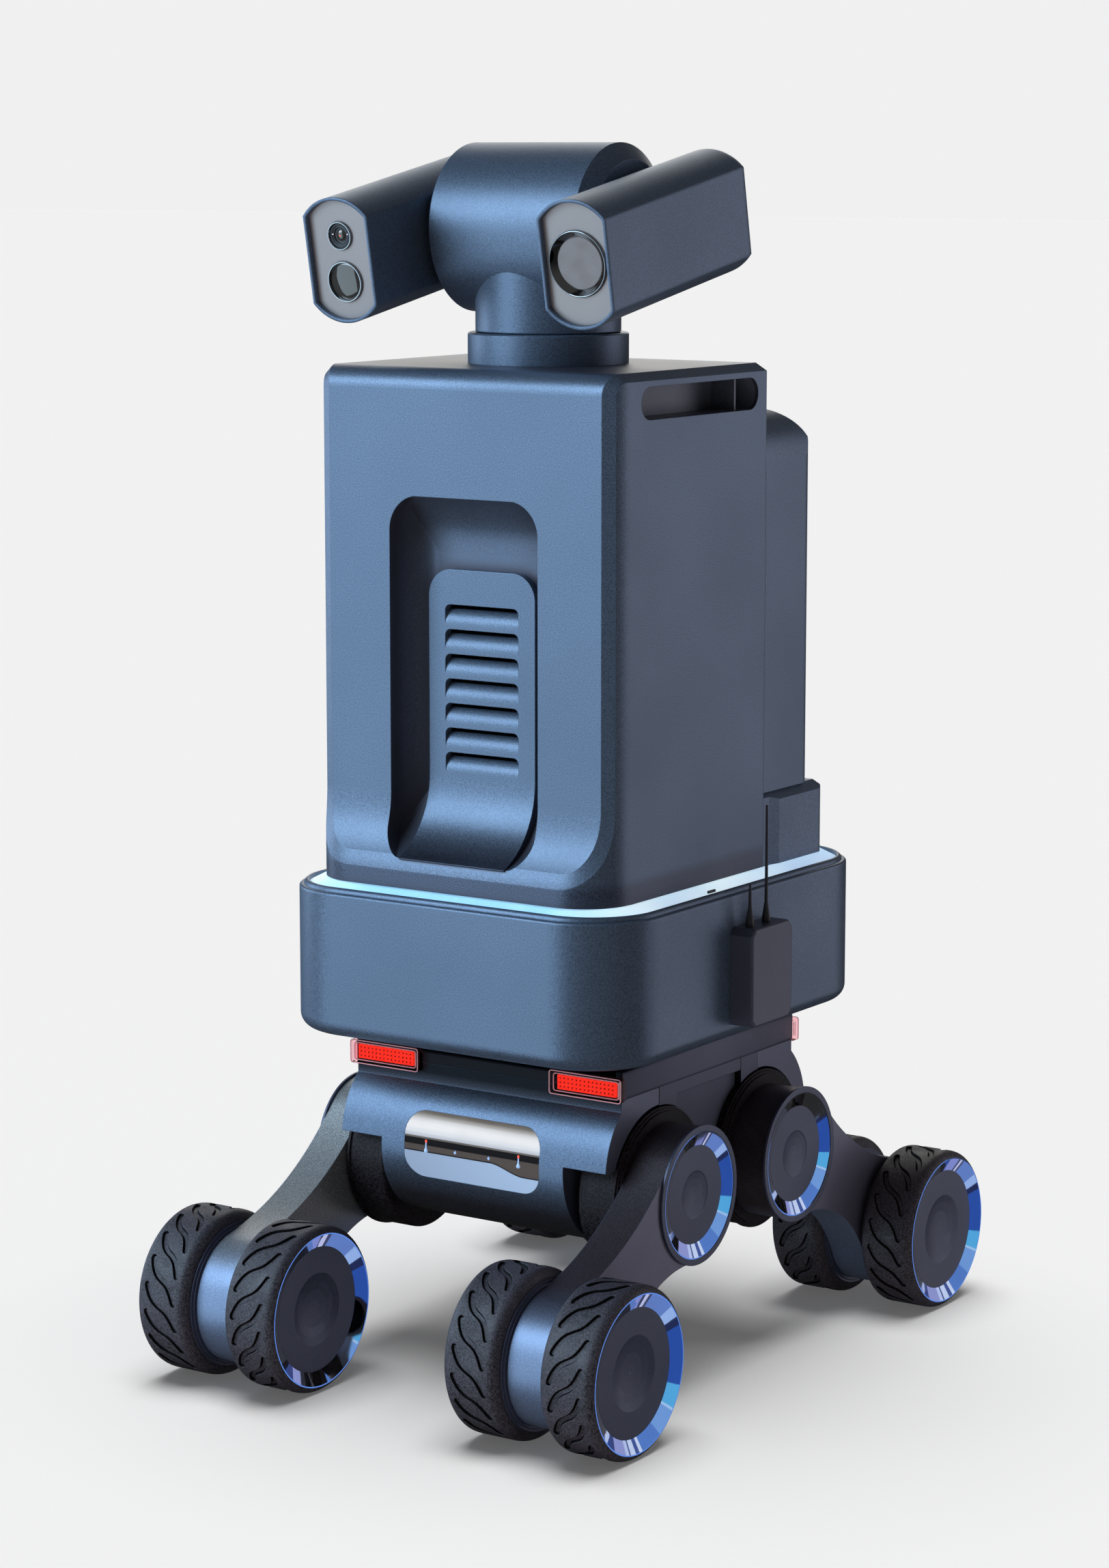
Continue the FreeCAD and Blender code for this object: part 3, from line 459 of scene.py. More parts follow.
PLASTIC = coated("black_plastic", (0.024, 0.025, 0.032), 0.0, 0.45, grain=0.2, scale=700.0,
                 edge=3.0, relief=0.5)
SILVER = coated("silver_plate", (0.34, 0.335, 0.36), 0.6, 0.42, grain=0.06, edge=1.3)

# ---------------------------------------------------------------- metals, rubber, glass, lights
STEEL = polished("ground_steel", (0.55, 0.56, 0.58), 0.25)
CHROME = polished("bright_chrome", (0.82, 0.84, 0.88), 0.04)
BEZEL = polished("bezel_chrome", (0.30, 0.30, 0.31), 0.08)
TYRE = rubber("tyre_rubber", (0.008, 0.007, 0.009), (0.076, 0.062, 0.084))
# Darker rubber on the groove walls: painted shade in the grooves.
GROOVE_SHADE = rubber("groove_shade_rubber", (0.002, 0.002, 0.002), (0.007, 0.006, 0.007), 0.08)
CLEAR = glass("clear_case", (1.0, 0.56, 0.60), 0.04, 1.12)
DARK_GLASS = glass("dark_glass", (0.02, 0.022, 0.028), 0.04, 1.6, through=0.0)
LENS_GLASS = glass("lens_glass", (0.085, 0.075, 0.07), 0.05, 1.6, through=0.0, metallic=0.6)
# Glowing lamp case rims: a painted highlight on the glass edges.
RIM_GLINT = glowing("lamp_rim", (0.66, 0.42, 0.46), 0.22, 0.7)
RED = glowing("lamp_red", (0.82, 0.034, 0.010), 0.84, 0.92, shine=0.05)
BEAD = glowing("bead_red", (0.12, 0.003, 0.002), 0.12, 0.9, shine=0.05)
TIP = glowing("tip_red", (0.85, 0.10, 0.05), 0.9, 0.9)
SPARK = glowing("spark_blue", (0.30, 0.44, 0.72), 0.7, 0.8)
WHITE_DOT = glowing("dot_white", (0.8, 0.8, 0.85), 0.5, 0.9)

# ---------------------------------------------------------------- light ring
RING_FRONT = ((0.28, 0.55, 0.76), (0.46, 0.74, 0.90))
RING_SIDE = ((0.46, 0.62, 0.84), (0.74, 0.88, 0.94))
RING_TURNS_PALE = (0.12, 0.19)
RING_GLOW = 0.84


def ring_light(name):
    """The light guide: cyan in front, paler along the sides, with darker drifts."""
    look = Look(name)
    across = look.math("ABSOLUTE", look.split(look.place)["X"])
    side = look.span(across, *RING_TURNS_PALE)
    front = look.patches(look.noise(11.0, 1.0), 0.4, 0.65, 1.0, *map(tone, RING_FRONT))
    flank = look.patches(look.noise(7.0, 1.0), 0.35, 0.6, 1.0, *map(tone, RING_SIDE))
    colour = look.mix(side, front, flank)
    look.set(
        Base_Color=colour,
        Emission_Color=colour,
        Emission_Strength=RING_GLOW,
        Roughness=look.span(look.noise(90.0), *SWING, 0.2, 0.34),
        Normal=look.bump(look.noise(260.0), 0.06, SOFT_MARKS_DEEP),
    )
    return look.material


# ---------------------------------------------------------------- sensor window
MIRROR = ((0.86, 0.88, 0.91), (0.8, 0.82, 0.86))
# Painted reflection: the pale foot of the sensor window.
WINDOW_FOOT_REFLECTION = ((0.40, 0.53, 0.74), (0.48, 0.66, 0.92))
FOOT_HALF = 0.07
# From the foot up: the height where a band of painted reflection starts, the height where it is full, and its
# shade.
LOW_REFLECTION_BANDS = ((0.2234, 0.2240, (0.012, 0.012, 0.016)), (0.2246, 0.2252, (0.115, 0.10, 0.092)))
HIGH_REFLECTION_BANDS = ((0.2303, 0.2311, (0.012, 0.012, 0.014)), (0.2370, 0.2376, (0.20, 0.19, 0.18)))
HEAD_BAND = (0.2388, 0.2392)
# How far the low painted reflection bands drop towards one side of the window.
DIP_FROM, DIP_TO, DIP_DEEP = 0.022, 0.062, 0.0095


def window_cover(name):
    """The sensor window: a mirrored head, and below it dark, brown and grey bands and a pale foot that are painted
    reflections.
    """
    look = Look(name)
    across, _, height = look.split(look.place)
    smear = look.noise(SMEAR, 3.0)
    mirror = look.patches(smear, 0.4, 0.7, 0.2, *map(tone, MIRROR))
    colour = look.patches(across, -FOOT_HALF, FOOT_HALF, 1.0, *map(tone, WINDOW_FOOT_REFLECTION))
    dip = look.span(across, DIP_FROM, DIP_TO, 0.0, DIP_DEEP, interpolation_type="SMOOTHSTEP")
    dipped = look.math("ADD", height, dip)
    for level, bands in ((dipped, LOW_REFLECTION_BANDS), (height, HIGH_REFLECTION_BANDS)):
        for start, full, shade in bands:
            colour = look.mix(look.span(level, start, full), colour, tone(shade))
    head = look.span(height, *HEAD_BAND)
    look.set(
        Base_Color=look.mix(head, colour, mirror),
        Metallic=head,
        Specular_IOR_Level=0.1,
        Roughness=look.span(smear, *SWING, 0.10, 0.17),
        Normal=look.bump(look.noise(RIPPLE), 0.01, FINE_MARKS_DEEP),
    )
    return look.material


# ---------------------------------------------------------------- ribbed lens
RIB_SLANT = math.radians(40)
RIB_SCALE = 190.0
RIB_DEEP = 0.15 * MM
RIB_SHADES = ((0.125, 0.100, 0.100), (0.19, 0.158, 0.155))


def striped_glass(name):
    """A grey lens face with fine slanting ribs."""
    look = Look(name)
    slant = look.add("ShaderNodeMapping")
    look.feed(slant.inputs["Vector"], look.place)
    slant.inputs["Rotation"].default_value = (0.0, RIB_SLANT, 0.0)
    wave = look.add("ShaderNodeTexWave", wave_type="BANDS", bands_direction="Z")
    look.feed(wave.inputs["Vector"], slant.outputs["Vector"])
    wave.inputs["Scale"].default_value = RIB_SCALE
    wave.inputs["Distortion"].default_value = 0.0
    ribs = wave.outputs["Fac"]
    look.set(
        Base_Color=look.mix(ribs, *map(tone, RIB_SHADES)),
        Roughness=look.span(look.noise(70.0), *SWING, 0.25, 0.4),
        Metallic=0.3,
        Normal=look.bump(ribs, 0.15, RIB_DEEP),
    )
    return look.material


RING_LIGHT = ring_light("ring_light")
WINDOW = window_cover("window_cover")
STRIPED = striped_glass("striped_glass")

# ---------------------------------------------------------------- looks of the CAD nodes
LOOKS = {
    "blue_shell": BLUE,
    "dark_metal": DISC,
    "tyre_rubber": TYRE,
    "bright_trim": CHROME,
    "black_plastic": PLASTIC,
    "window_glass": WINDOW,
    "lamp_glass": CLEAR,
    "lamp_red": RED,
    "ring_glow": RING_LIGHT,
    "battery_case": DISC,
    "unit_case": SILVER,
    "bright_steel": STEEL,
    "silver_plate": SILVER,
    "lens_glass": DARK_GLASS,
}
SPECIAL = {
    "body_shell": BODY,
    "louvre_panel": PANEL,
    "face_plates": PLATE,
    "handle_cups": CUP,
    "hood_front": HOOD,
    "hood_rear": HOOD,
    "pod_left": PODS,
    "pod_right": PODS,
    "antenna_module": CASE,
    "hip_drive_front": MOTOR,
    "hip_drive_rear": MOTOR,
    "chassis_frame": FRAME,
    "deck_plate": DISC,
    "leg_arm_front_left": SHADED_ARM,
    "leg_arm_rear_left": SHADED_ARM,
    "leg_arm_front_right": LIT_RIGHT_ARM,
    "leg_arm_rear_right": LIT_RIGHT_ARM,
}


def dress_frame():
    """Every CAD node gets its own look, or else the one of its slot."""
    slots = {row["node"]: row["material_slot"] for row in frame["record"]["subparts"]}
    for name, obj in frame["nodes"].items():
        look = SPECIAL.get(name, LOOKS[slots[name]])
        obj.data.materials.clear()
        obj.data.materials.append(look)


# ---------------------------------------------------------------- tyres
GROOVES = 19
GROOVE_REACH = 16.4 * MM
GROOVE_SWEEP = 21.0 * MM
GROOVE_BEND = 0.58
GROOVE_WIDE = 6.2 * MM
GROOVE_WALL = 1.2 * MM
GROOVE_DEEP = 2.6 * MM
GROOVE_LIP = 0.4 * MM
LIP_DEPTH = 0.15
CLOSED_TOP, CLOSED_FLOOR = 0.1 * MM, 0.05 * MM
STROKE_STEPS = 80
WALL_LINES = (3, 5)
STATIONS = (0.0, 2.5, 5.0, 7.5, 9.5, 11.5, 13.0, 14.3, 15.4, 16.3, 17.0, 17.6, 18.1, 18.5, 18.9,
            19.2, 19.45, 19.6, 19.75, 20.3, 21.5, 22.8, 24.4, 26.0, 27.4, 28.5, 29.3, 29.8)
SHOULDER = 15.0 * MM
SHOULDER_POWER = 4.2
OUTER_DROP, INNER_DROP = 6.5 * MM, 8.0 * MM
SEAT_RADIUS, SEAT_WIDE, BORE_RADIUS = 76.0 * MM, 9.0 * MM, 62.0 * MM
FACET_DROP = 0.03 * MM


def sweep(a):
    """How far round the tyre a groove has moved at that distance from the middle."""
    t = max(-1.0, min(1.0, a / GROOVE_REACH))
    return GROOVE_SWEEP * ((1 - GROOVE_BEND) * t + GROOVE_BEND * t ** 3)


def groove_span(a, radius):
    """Where a stroke of that radius along the groove starts and ends at that station, if it does."""
    edges = []
    for step in range(-STROKE_STEPS, STROKE_STEPS + 1):
        along = GROOVE_REACH * step / STROKE_STEPS
        room = radius ** 2 - (a - along) ** 2
        if room > 0:
            edges += [sweep(along) - math.sqrt(room), sweep(along) + math.sqrt(room)]
    return (min(edges), max(edges)) if edges else None


def groove_lines(a, pitch):
    """Offsets round the tyre and depths of the lines that carry one groove at that station."""
    wide = GROOVE_WIDE / 2
    end = sweep(a)
    low, high = groove_span(a, wide) or (end - CLOSED_TOP, end + CLOSED_TOP)
    middle = (low + high) / 2
    floor = groove_span(a, wide - GROOVE_WALL)
    floor_low, floor_high = floor or (middle - CLOSED_FLOOR, middle + CLOSED_FLOOR)
    past = (abs(a) - GROOVE_REACH - wide + GROOVE_WALL) / GROOVE_WALL
    deep = GROOVE_DEEP * max(0.0, min(1.0, 1 - past))
    before, after = middle - pitch / 2, middle + pitch / 2
    return [(before, 0.0), ((before + low) / 2, 0.0), (low - GROOVE_LIP, 0.0),
            (low, LIP_DEPTH * deep), (floor_low, deep), (floor_high, deep),
            (high, LIP_DEPTH * deep), (high + GROOVE_LIP, 0.0), ((after + high) / 2, 0.0)]


def stations(half):
    """Distances from the middle of the tread, close together at groove ends and shoulders."""
    right = [station * MM for station in STATIONS] + [half]
    return [-distance for distance in reversed(right[1:])] + right


def tread_rows(half, outward, pitch):
    """Across the tread: the distance from the middle, the shoulder's drop and the groove lines."""
    rows = []
    for a in stations(half):
        near = (half - abs(a)) / SHOULDER
        full_drop = OUTER_DROP if a * outward > 0 else INNER_DROP
        drop = full_drop * max(0.0, 1 - near) ** SHOULDER_POWER
        rows.append((a, drop, groove_lines(a, pitch)))
    return rows


def hub_seat(half, outward):
    """The outline under the tread, as (across, radius): a step for the trim ring, and the bore."""
    step = half - SEAT_WIDE
    outline = [(half, SEAT_RADIUS), (step, SEAT_RADIUS), (step, BORE_RADIUS), (-half, BORE_RADIUS)]
    outline = [(a * outward, radius) for a, radius in outline]
    return outline if outward > 0 else outline[::-1]


def darken_walls(obj, rows, per):
    """The walls of the grooves get the second look, a darker rubber as painted shade."""
    count = GROOVES * per
    for row, (_, _, lines) in enumerate(rows[:-1]):
        floor_depth = lines[per // 2][1]
        if floor_depth > 0.0:
            for k in range(count):
                if k % per in WALL_LINES:
                    obj.data.polygons[row * count + k].material_index = 1


def tread_tyre(corner, which):
    """A tyre with S-shaped grooves, rounded shoulders and a plain seat for its rings."""
    node = f"tyre_{corner}_{which}"
    low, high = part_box(node)
    centre = (low + high) / 2
    radius, half = (high.z - low.z) / 2 - FACET_DROP, (high.x - low.x) / 2
    outward = 1 if (which == "outer") == (centre.x > 0) else -1
    leg = JOINTS[f"wheel_{corner}"]["pos_m"][0]
    hand = 1 if (centre.x > leg) != corner.startswith("rear") else -1
    pitch = 2 * math.pi * radius / GROOVES
    rows = tread_rows(half, outward, pitch)
    seat = hub_seat(half, outward)

    def spot(a, r, groove, offset):
        angle = (groove * pitch + offset) * hand / radius
        return centre.x + a, centre.y - r * math.cos(angle), centre.z + r * math.sin(angle)

    verts = []
    for a, drop, lines in rows:
        for groove in range(GROOVES):
            verts += [spot(a, radius - drop - deep, groove, offset) for offset, deep in lines]
    edge_lines = rows[-1][2]
    for a, r in seat:
        for groove in range(GROOVES):
            verts += [spot(a, r, groove, offset) for offset, _ in edge_lines]
    per = len(edge_lines)
    faces = quads(len(rows) + len(seat), GROOVES * per, flip=True)
    if hand < 0:
        faces = inside_out(faces)
    obj = piece(f"tread_{corner}_{which}", verts, faces, f"wheels_{corner}", "tyre_rubber", TYRE,
                sharp=40, second_look=GROOVE_SHADE)
    darken_walls(obj, rows, per)
    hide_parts(node)


# ---------------------------------------------------------------- lenses
POD_X = 0.135
POD_DOWN = math.radians(10.8)
PIVOT = Vector(JOINTS["pod_tilt"]["pos_m"])
SMALL_UP, LARGE_UP = 23.0, -21.5
# Outlines are (distance from the tilt axis, radius).
BEAM_BEZEL = metres((
    (145, 31.3), (155.6, 31.3), (156.3, 31.0), (156.5, 30.4), (156.2, 29.9), (155.2, 29.6),
    (151.4, 24.8), (150.6, 24.4), (145, 24.4),
))
BEAM_FACE = metres(((146, 0), (146, 24.6), (151.0, 24.6), (151.5, 24.0), (151.7, 0)))
SMALL_RIM = metres((
    (146, 13.8), (155.7, 13.8), (156.4, 13.4), (156.4, 12.7), (155.6, 12.3), (154.5, 12.0),
    (150, 11.9), (146, 11.9),
))
SMALL_BARREL = metres((
    (145.5, 11.9), (154.2, 11.9), (153.9, 10.9), (154.6, 10.7), (154.3, 9.6), (153.4, 9.4),
    (153.9, 8.2), (153.2, 7.6), (152.2, 7.4), (152.2, 5.6), (145.5, 5.6),
))
SMALL_EYE = metres(((146, 0), (146, 5.7), (152.4, 5.7), (153.5, 4.4), (154.1, 2.6), (154.3, 0)))
LARGE_RIM = metres((
    (146, 19.8), (155.7, 19.8), (156.4, 19.4), (156.4, 18.6), (155.5, 18.1), (153.4, 17.8),
    (146, 17.8),
))
LARGE_DOME = metres((
    (146, 0), (146, 17.8), (153.4, 17.8), (154.3, 15.4), (155.2, 11.0), (155.8, 5.6), (156.0, 0),
))
WHITE_BEAD = metres(((152.5, 0), (152.5, 0.7), (153.8, 0.7), (154.5, 0.45), (154.7, 0)))
WHITE_SPOTS = metres(((0.0, 3.6), (8.6, 1.2), (-8.6, 1.2)))
RED_BEAD = metres(((153.5, 0), (153.5, 0.8), (154.5, 0.8), (154.9, 0.5), (155.0, 0)))
DOT_SEGMENTS = 16


def lens_frame(side, up_mm):
    """A frame at a lens: X looks out of the pod, from the tilt axis, and Z is the pod's up."""
    ahead = Vector((0, -math.cos(POD_DOWN), -math.sin(POD_DOWN)))
    up = Vector((0, -math.sin(POD_DOWN), math.cos(POD_DOWN)))
    across = up.cross(ahead)
    turn = Matrix((ahead, across, up)).transposed().to_4x4()
    return Matrix.Translation(Vector((POD_X * side, PIVOT.y, PIVOT.z)) + up * up_mm * MM) @ turn


def beam_lens():
    """The big round lens: a stepped bezel and a ribbed face."""
    place = lens_frame(1, 0.0)
    bezel = piece("beam_bezel", *turned(BEAM_BEZEL, place), "pods", "bright_trim", BEZEL, sharp=50)
    face = piece("beam_face", *disc(BEAM_FACE, place), "pods", "lens_glass", STRIPED)
    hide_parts("beam_lens")
    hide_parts("beam_lens")


def camera_lenses():
    """A small camera in a stepped barrel over a large domed one, each with its bezel."""
    small, large = lens_frame(-1, SMALL_UP), lens_frame(-1, LARGE_UP)
    rims = joined([turned(SMALL_RIM, small), turned(LARGE_RIM, large)])
    bezels = piece("camera_bezels", *rims, "pods", "bright_trim", BEZEL, sharp=50)
    steps = turned(SMALL_BARREL, small)
    barrel = piece("camera_barrel", *steps, "pods", "black_plastic", PLASTIC, sharp=25)
    eyes = joined([disc(SMALL_EYE, small), disc(LARGE_DOME, large)])
    domes = piece("camera_domes", *eyes, "pods", "lens_glass", LENS_GLASS)
    for obj in (bezels, barrel, domes):
        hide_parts("camera_lenses")


def camera_dots():
    """Three white lights and a red one inside the small camera."""
    small = lens_frame(-1, SMALL_UP)
    dots = []
    for across, up in WHITE_SPOTS:
        place = small @ Matrix.Translation((0, across, up))
        dots.append(disc(WHITE_BEAD, place, DOT_SEGMENTS))
    piece("camera_dots", *joined(dots), "pods", "ring_glow", WHITE_DOT)
    red = disc(RED_BEAD, small, DOT_SEGMENTS)
    piece("camera_red_dot", *red, "pods", "lamp_red", TIP)


# ---------------------------------------------------------------- lamps in the sensor window
SPARKS = ((-54.0, True), (-19.0, False), (21.0, False), (56.0, True))
# Foot, tip and half width, in mm.
TALL_SPARK = (223.5, 233.5, 2.4)
SHORT_SPARK = (226.5, 230.5, 1.5)
SPARK_INSET = 0.6 * MM
SPARK_SEGMENTS = 24


def spark_outline(foot, tip, wide):
    """A flame shape on its axis, in mm: a full foot, a thin stem and a blunt tip."""
    return [(foot, 0), (foot + 0.4, wide * 0.7), (foot + 1.6, wide), (foot + 3.0, wide * 0.8),
            ((foot + tip) / 2, wide * 0.42), (tip, wide * 0.3), (tip, 0)]


def cap_outline(tip, wide):
    """The red tip on top of a tall spark, in mm."""
    return [(tip, 0), (tip, wide * 0.36), (tip + 1.6, wide * 0.5), (tip + 2.8, wide * 0.3),
            (tip + 3.0, 0)]


def window_sparks():
    """Small lamps on the dark painted reflection band of the sensor window, the outer two taller with red tips."""
    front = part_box("sensor_window")[0].y
    blues, reds = [], []
    for x, tall in SPARKS:
        foot, tip, wide = TALL_SPARK if tall else SHORT_SPARK
        upright = Matrix.Rotation(-math.pi / 2, 4, "Y")
        place = Matrix.Translation((x * MM, front + SPARK_INSET, 0)) @ upright
        blues.append(disc(metres(spark_outline(foot, tip, wide)), place, SPARK_SEGMENTS))
        if tall:
            reds.append(disc(metres(cap_outline(tip, wide)), place, SPARK_SEGMENTS))
    piece("window_sparks", *joined(blues), "chassis", "ring_glow", SPARK)
    piece("window_spark_tips", *joined(reds), "chassis", "lamp_red", TIP)


# ---------------------------------------------------------------- corner lamps
BEAD_ROWS, BEAD_COLUMNS = 3, 14
BEAD_FIRST, BEAD_STEP, BEAD_RISE = 89.2, 4.66, 4.2
BEAD_INSET = 0.3 * MM
BEAD_SEGMENTS = 10
BEAD_DOME = metres(((0, 0), (0, 0.95), (0.6, 0.8), (0.9, 0.4), (1.0, 0)))
LAMP_X, LAMP_Z = 119.5 * MM, 309.0 * MM
# Half width, half height and distance from the middle of the robot, in mm.
RIM_LOOPS = ((41.0, 11.5, 167.5), (37.4, 8.6, 165.3))
RIM_CORNER, RIM_CORNER_STEPS = 2.6 * MM, 5
RIM_THICK = 0.55


def lamp_beads():
    """A grid of small domes on each red board."""
    low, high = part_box("lamp_boards")
    beads = []
    for end in BOTH:
        facing = Matrix.Rotation(end * math.pi / 2, 4, "Z")
        for side in BOTH:
            for row in range(BEAD_ROWS):
                for column in range(BEAD_COLUMNS):
                    x = side * (BEAD_FIRST + BEAD_STEP * column) * MM
                    y = (high.y - BEAD_INSET) * end
                    z = (low.z + high.z) / 2 + (row - 1) * BEAD_RISE * MM
                    place = Matrix.Translation((x, y, z)) @ facing
                    beads.append(disc(BEAD_DOME, place, BEAD_SEGMENTS))
    piece("lamp_beads", *joined(beads), "chassis", "lamp_red", BEAD)


def lamp_rim_glints():
    """Pale rims along the front and the inner edge of each clear lamp case, glowing as a painted highlight on the
    case's edges.
    """
    eighths = [k * math.pi / 4 for k in range(8)]
    section = metres((math.cos(turn) * RIM_THICK, math.sin(turn) * RIM_THICK) for turn in eighths)
    rims = []
    for end in BOTH:
        for side in BOTH:
            for half_x, half_z, depth in RIM_LOOPS:
                loop = rounded_frame(half_x * MM, half_z * MM, RIM_CORNER, RIM_CORNER_STEPS)
                path = [(side * LAMP_X + x, end * depth * MM, LAMP_Z + z) for x, z in loop]
                rims.append(swept(path, (0, -1, 0), section))
    piece("lamp_rim_glints", *joined(rims), "chassis", "lamp_glass", RIM_GLINT, sharp=60)


# ---------------------------------------------------------------- side rails
RAIL_INNER = 151.0
RAIL_BOTTOM, RAIL_TOP = 298.0, 327.2
RAIL_OUTLINE = (
    (RAIL_INNER, RAIL_BOTTOM), (156.6, RAIL_BOTTOM), (158.0, RAIL_BOTTOM + 1.6),
    (158.4, RAIL_BOTTOM + 4.0), (158.4, RAIL_TOP - 4.0), (158.0, RAIL_TOP - 1.6),
    (156.6, RAIL_TOP), (RAIL_INNER, RAIL_TOP),
)
RAIL_EASE = 1.2
RAIL_ENDS = ((-160.6, RAIL_EASE), (-159.4, 0.0), (159.4, 0.0), (160.6, RAIL_EASE))
WEB_SIDES = (150.0, 157.4)
WEB_NEAR, WEB_FAR, WEB_TOP, WEB_ARCH = 60.0, 93.0, 299.0, 82.2
WEB_STEPS = 12


def rail(side):
    """One long rail under the tray, with eased ends."""
    middle = (RAIL_BOTTOM + RAIL_TOP) / 2
    verts = []
    for y, inset in RAIL_ENDS:
        for x, z in RAIL_OUTLINE:
            outer = x - inset if x > RAIL_INNER else x
            level = z + (inset if z < middle else -inset)
            verts.append((side * outer * MM, y * MM, level * MM))
    rows, per = len(RAIL_ENDS), len(RAIL_OUTLINE)
    faces = quads(rows, per, closed=False, flip=True) + end_caps(rows, per)
    return verts, faces if side > 0 else inside_out(faces)


def web(side, end):
    """The web under a rail that closes the gap between a hood and its motor, arched over the motor."""
    hip = JOINTS["hip_front_left"]["pos_m"]
    axis_y, axis_z = abs(hip[1]) / MM, hip[2] / MM
    outline = []
    for k in range(WEB_STEPS + 1):
        y = WEB_NEAR + (WEB_FAR - WEB_NEAR) * k / WEB_STEPS
        outline.append((y, axis_z + math.sqrt(WEB_ARCH ** 2 - (y - axis_y) ** 2)))
    outline += [(WEB_FAR, WEB_TOP), (WEB_NEAR, WEB_TOP)]
    verts = [(side * x * MM, end * y * MM, z * MM) for x in WEB_SIDES for y, z in outline]
    faces = inside_out(end_caps(2, len(outline))) + quads(2, len(outline), closed=False)
    return verts, faces if side * end > 0 else inside_out(faces)


def side_rails():
    """The two rails and the webs under their ends."""
    parts = [rail(side) for side in BOTH]
    parts += [web(side, end) for side in BOTH for end in BOTH]
    piece("side_rails", *joined(parts), "chassis", "dark_metal", FRAME, sharp=50)


# ---------------------------------------------------------------- seal and port of the light ring
SEAL_Z = 484.0 * MM
RING_CORNER, RING_CORNER_STEPS = 66.0 * MM, 16
SEAL_OUTLINE = metres((
    (0.2, -1.0), (5.4, -1.0), (5.4, 0.4), (4.4, 2.8), (2.8, 4.2), (1.2, 4.6), (0.2, 4.0),
))
PORT_Y, PORT_Z = -57.0 * MM, 490.4 * MM
PORT_HALF_LONG, PORT_HALF_HIGH = 7.0 * MM, 1.3 * MM
PORT_CORNER, PORT_CORNER_STEPS = 1.2 * MM, 5
PORT_STEPS = ((-1.0, 1.0), (0.35, 1.0), (0.6, 0.9))


def ring_seal():
    """The painted lip that holds the light ring in the tray."""
    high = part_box("led_ring")[1]
    loop = rounded_frame(high.x, high.y, RING_CORNER, RING_CORNER_STEPS)
    path = [(x, y, SEAL_Z) for x, y in loop]
    seal = swept(path, (0, 0, 1), SEAL_OUTLINE)
    piece("ring_seal", *seal, "chassis", "blue_shell", BLUE, sharp=50)


def ring_port():
    """A small dark port on the left side of the light ring."""
    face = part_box("led_ring")[1].x
    slot = rounded_frame(PORT_HALF_LONG, PORT_HALF_HIGH, PORT_CORNER, PORT_CORNER_STEPS)
    verts = []
    for depth, scale in PORT_STEPS:
        verts += [(face + depth * MM, PORT_Y + y * scale, PORT_Z + z * scale) for y, z in slot]
    rows, per = len(PORT_STEPS), len(slot)
    faces = end_caps(rows, per) + quads(rows, per, closed=False, flip=True)
    piece("ring_port", verts, faces, "chassis", "black_plastic", PLASTIC)


# ---------------------------------------------------------------- camera, floor and world
CAMERA_PLACE = Vector((2.1547, -3.2537, 1.1971))
CAMERA_AIM = Vector((-0.0277, 0.0, 0.5681))
LENS, SENSOR = 90.6, 36.0
FLOOR_REACH = 60.0
FLOOR_GLOW = 0.09
SUN_PLACE = (-0.1, 0.05, 4.0)
SUN_POWER = 2.80
SUN_SPREAD = math.radians(46)
BACKDROP = (0.8714, 0.8714, 0.8714, 1)
SKY_FILL = (("From Min", -0.25), ("From Max", 0.35), ("To Min", 0.025), ("To Max", 0.10))


def aim(obj, target):
    """Turns an object so that it looks at the target."""
    obj.rotation_euler = (Vector(target) - obj.location).to_track_quat("-Z", "Y").to_euler()


def set_camera():
    """A long lens from the robot's front left."""
    scene = bpy.context.scene
    camera = bpy.data.cameras.new("camera")
    camera.lens, camera.sensor_width = LENS, SENSOR
    eye = bpy.data.objects.new("camera", camera)
    eye.location = CAMERA_PLACE
    scene.collection.objects.link(eye)
    aim(eye, CAMERA_AIM)
    scene.camera = eye


def lay_floor():
    """A wide pale floor that shiny surfaces do not reflect."""
    mesh = bpy.data.meshes.new("floor")
    far = FLOOR_REACH
    square = [(-far, -far, 0), (far, -far, 0), (far, far, 0), (-far, far, 0)]
    mesh.from_pydata(square, [], [(0, 1, 2, 3)])
    floor = bpy.data.objects.new("floor", mesh)
    bpy.context.scene.collection.objects.link(floor)
    floor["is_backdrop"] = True
    floor.visible_glossy = False
    look = Look("floor")
    look.set(Base_Color=(0.8, 0.8, 0.8, 1), Roughness=0.9, Specular_IOR_Level=0.0,
             Emission_Color=(1, 1, 1, 1), Emission_Strength=FLOOR_GLOW)
    mesh.materials.append(look.material)
    return floor


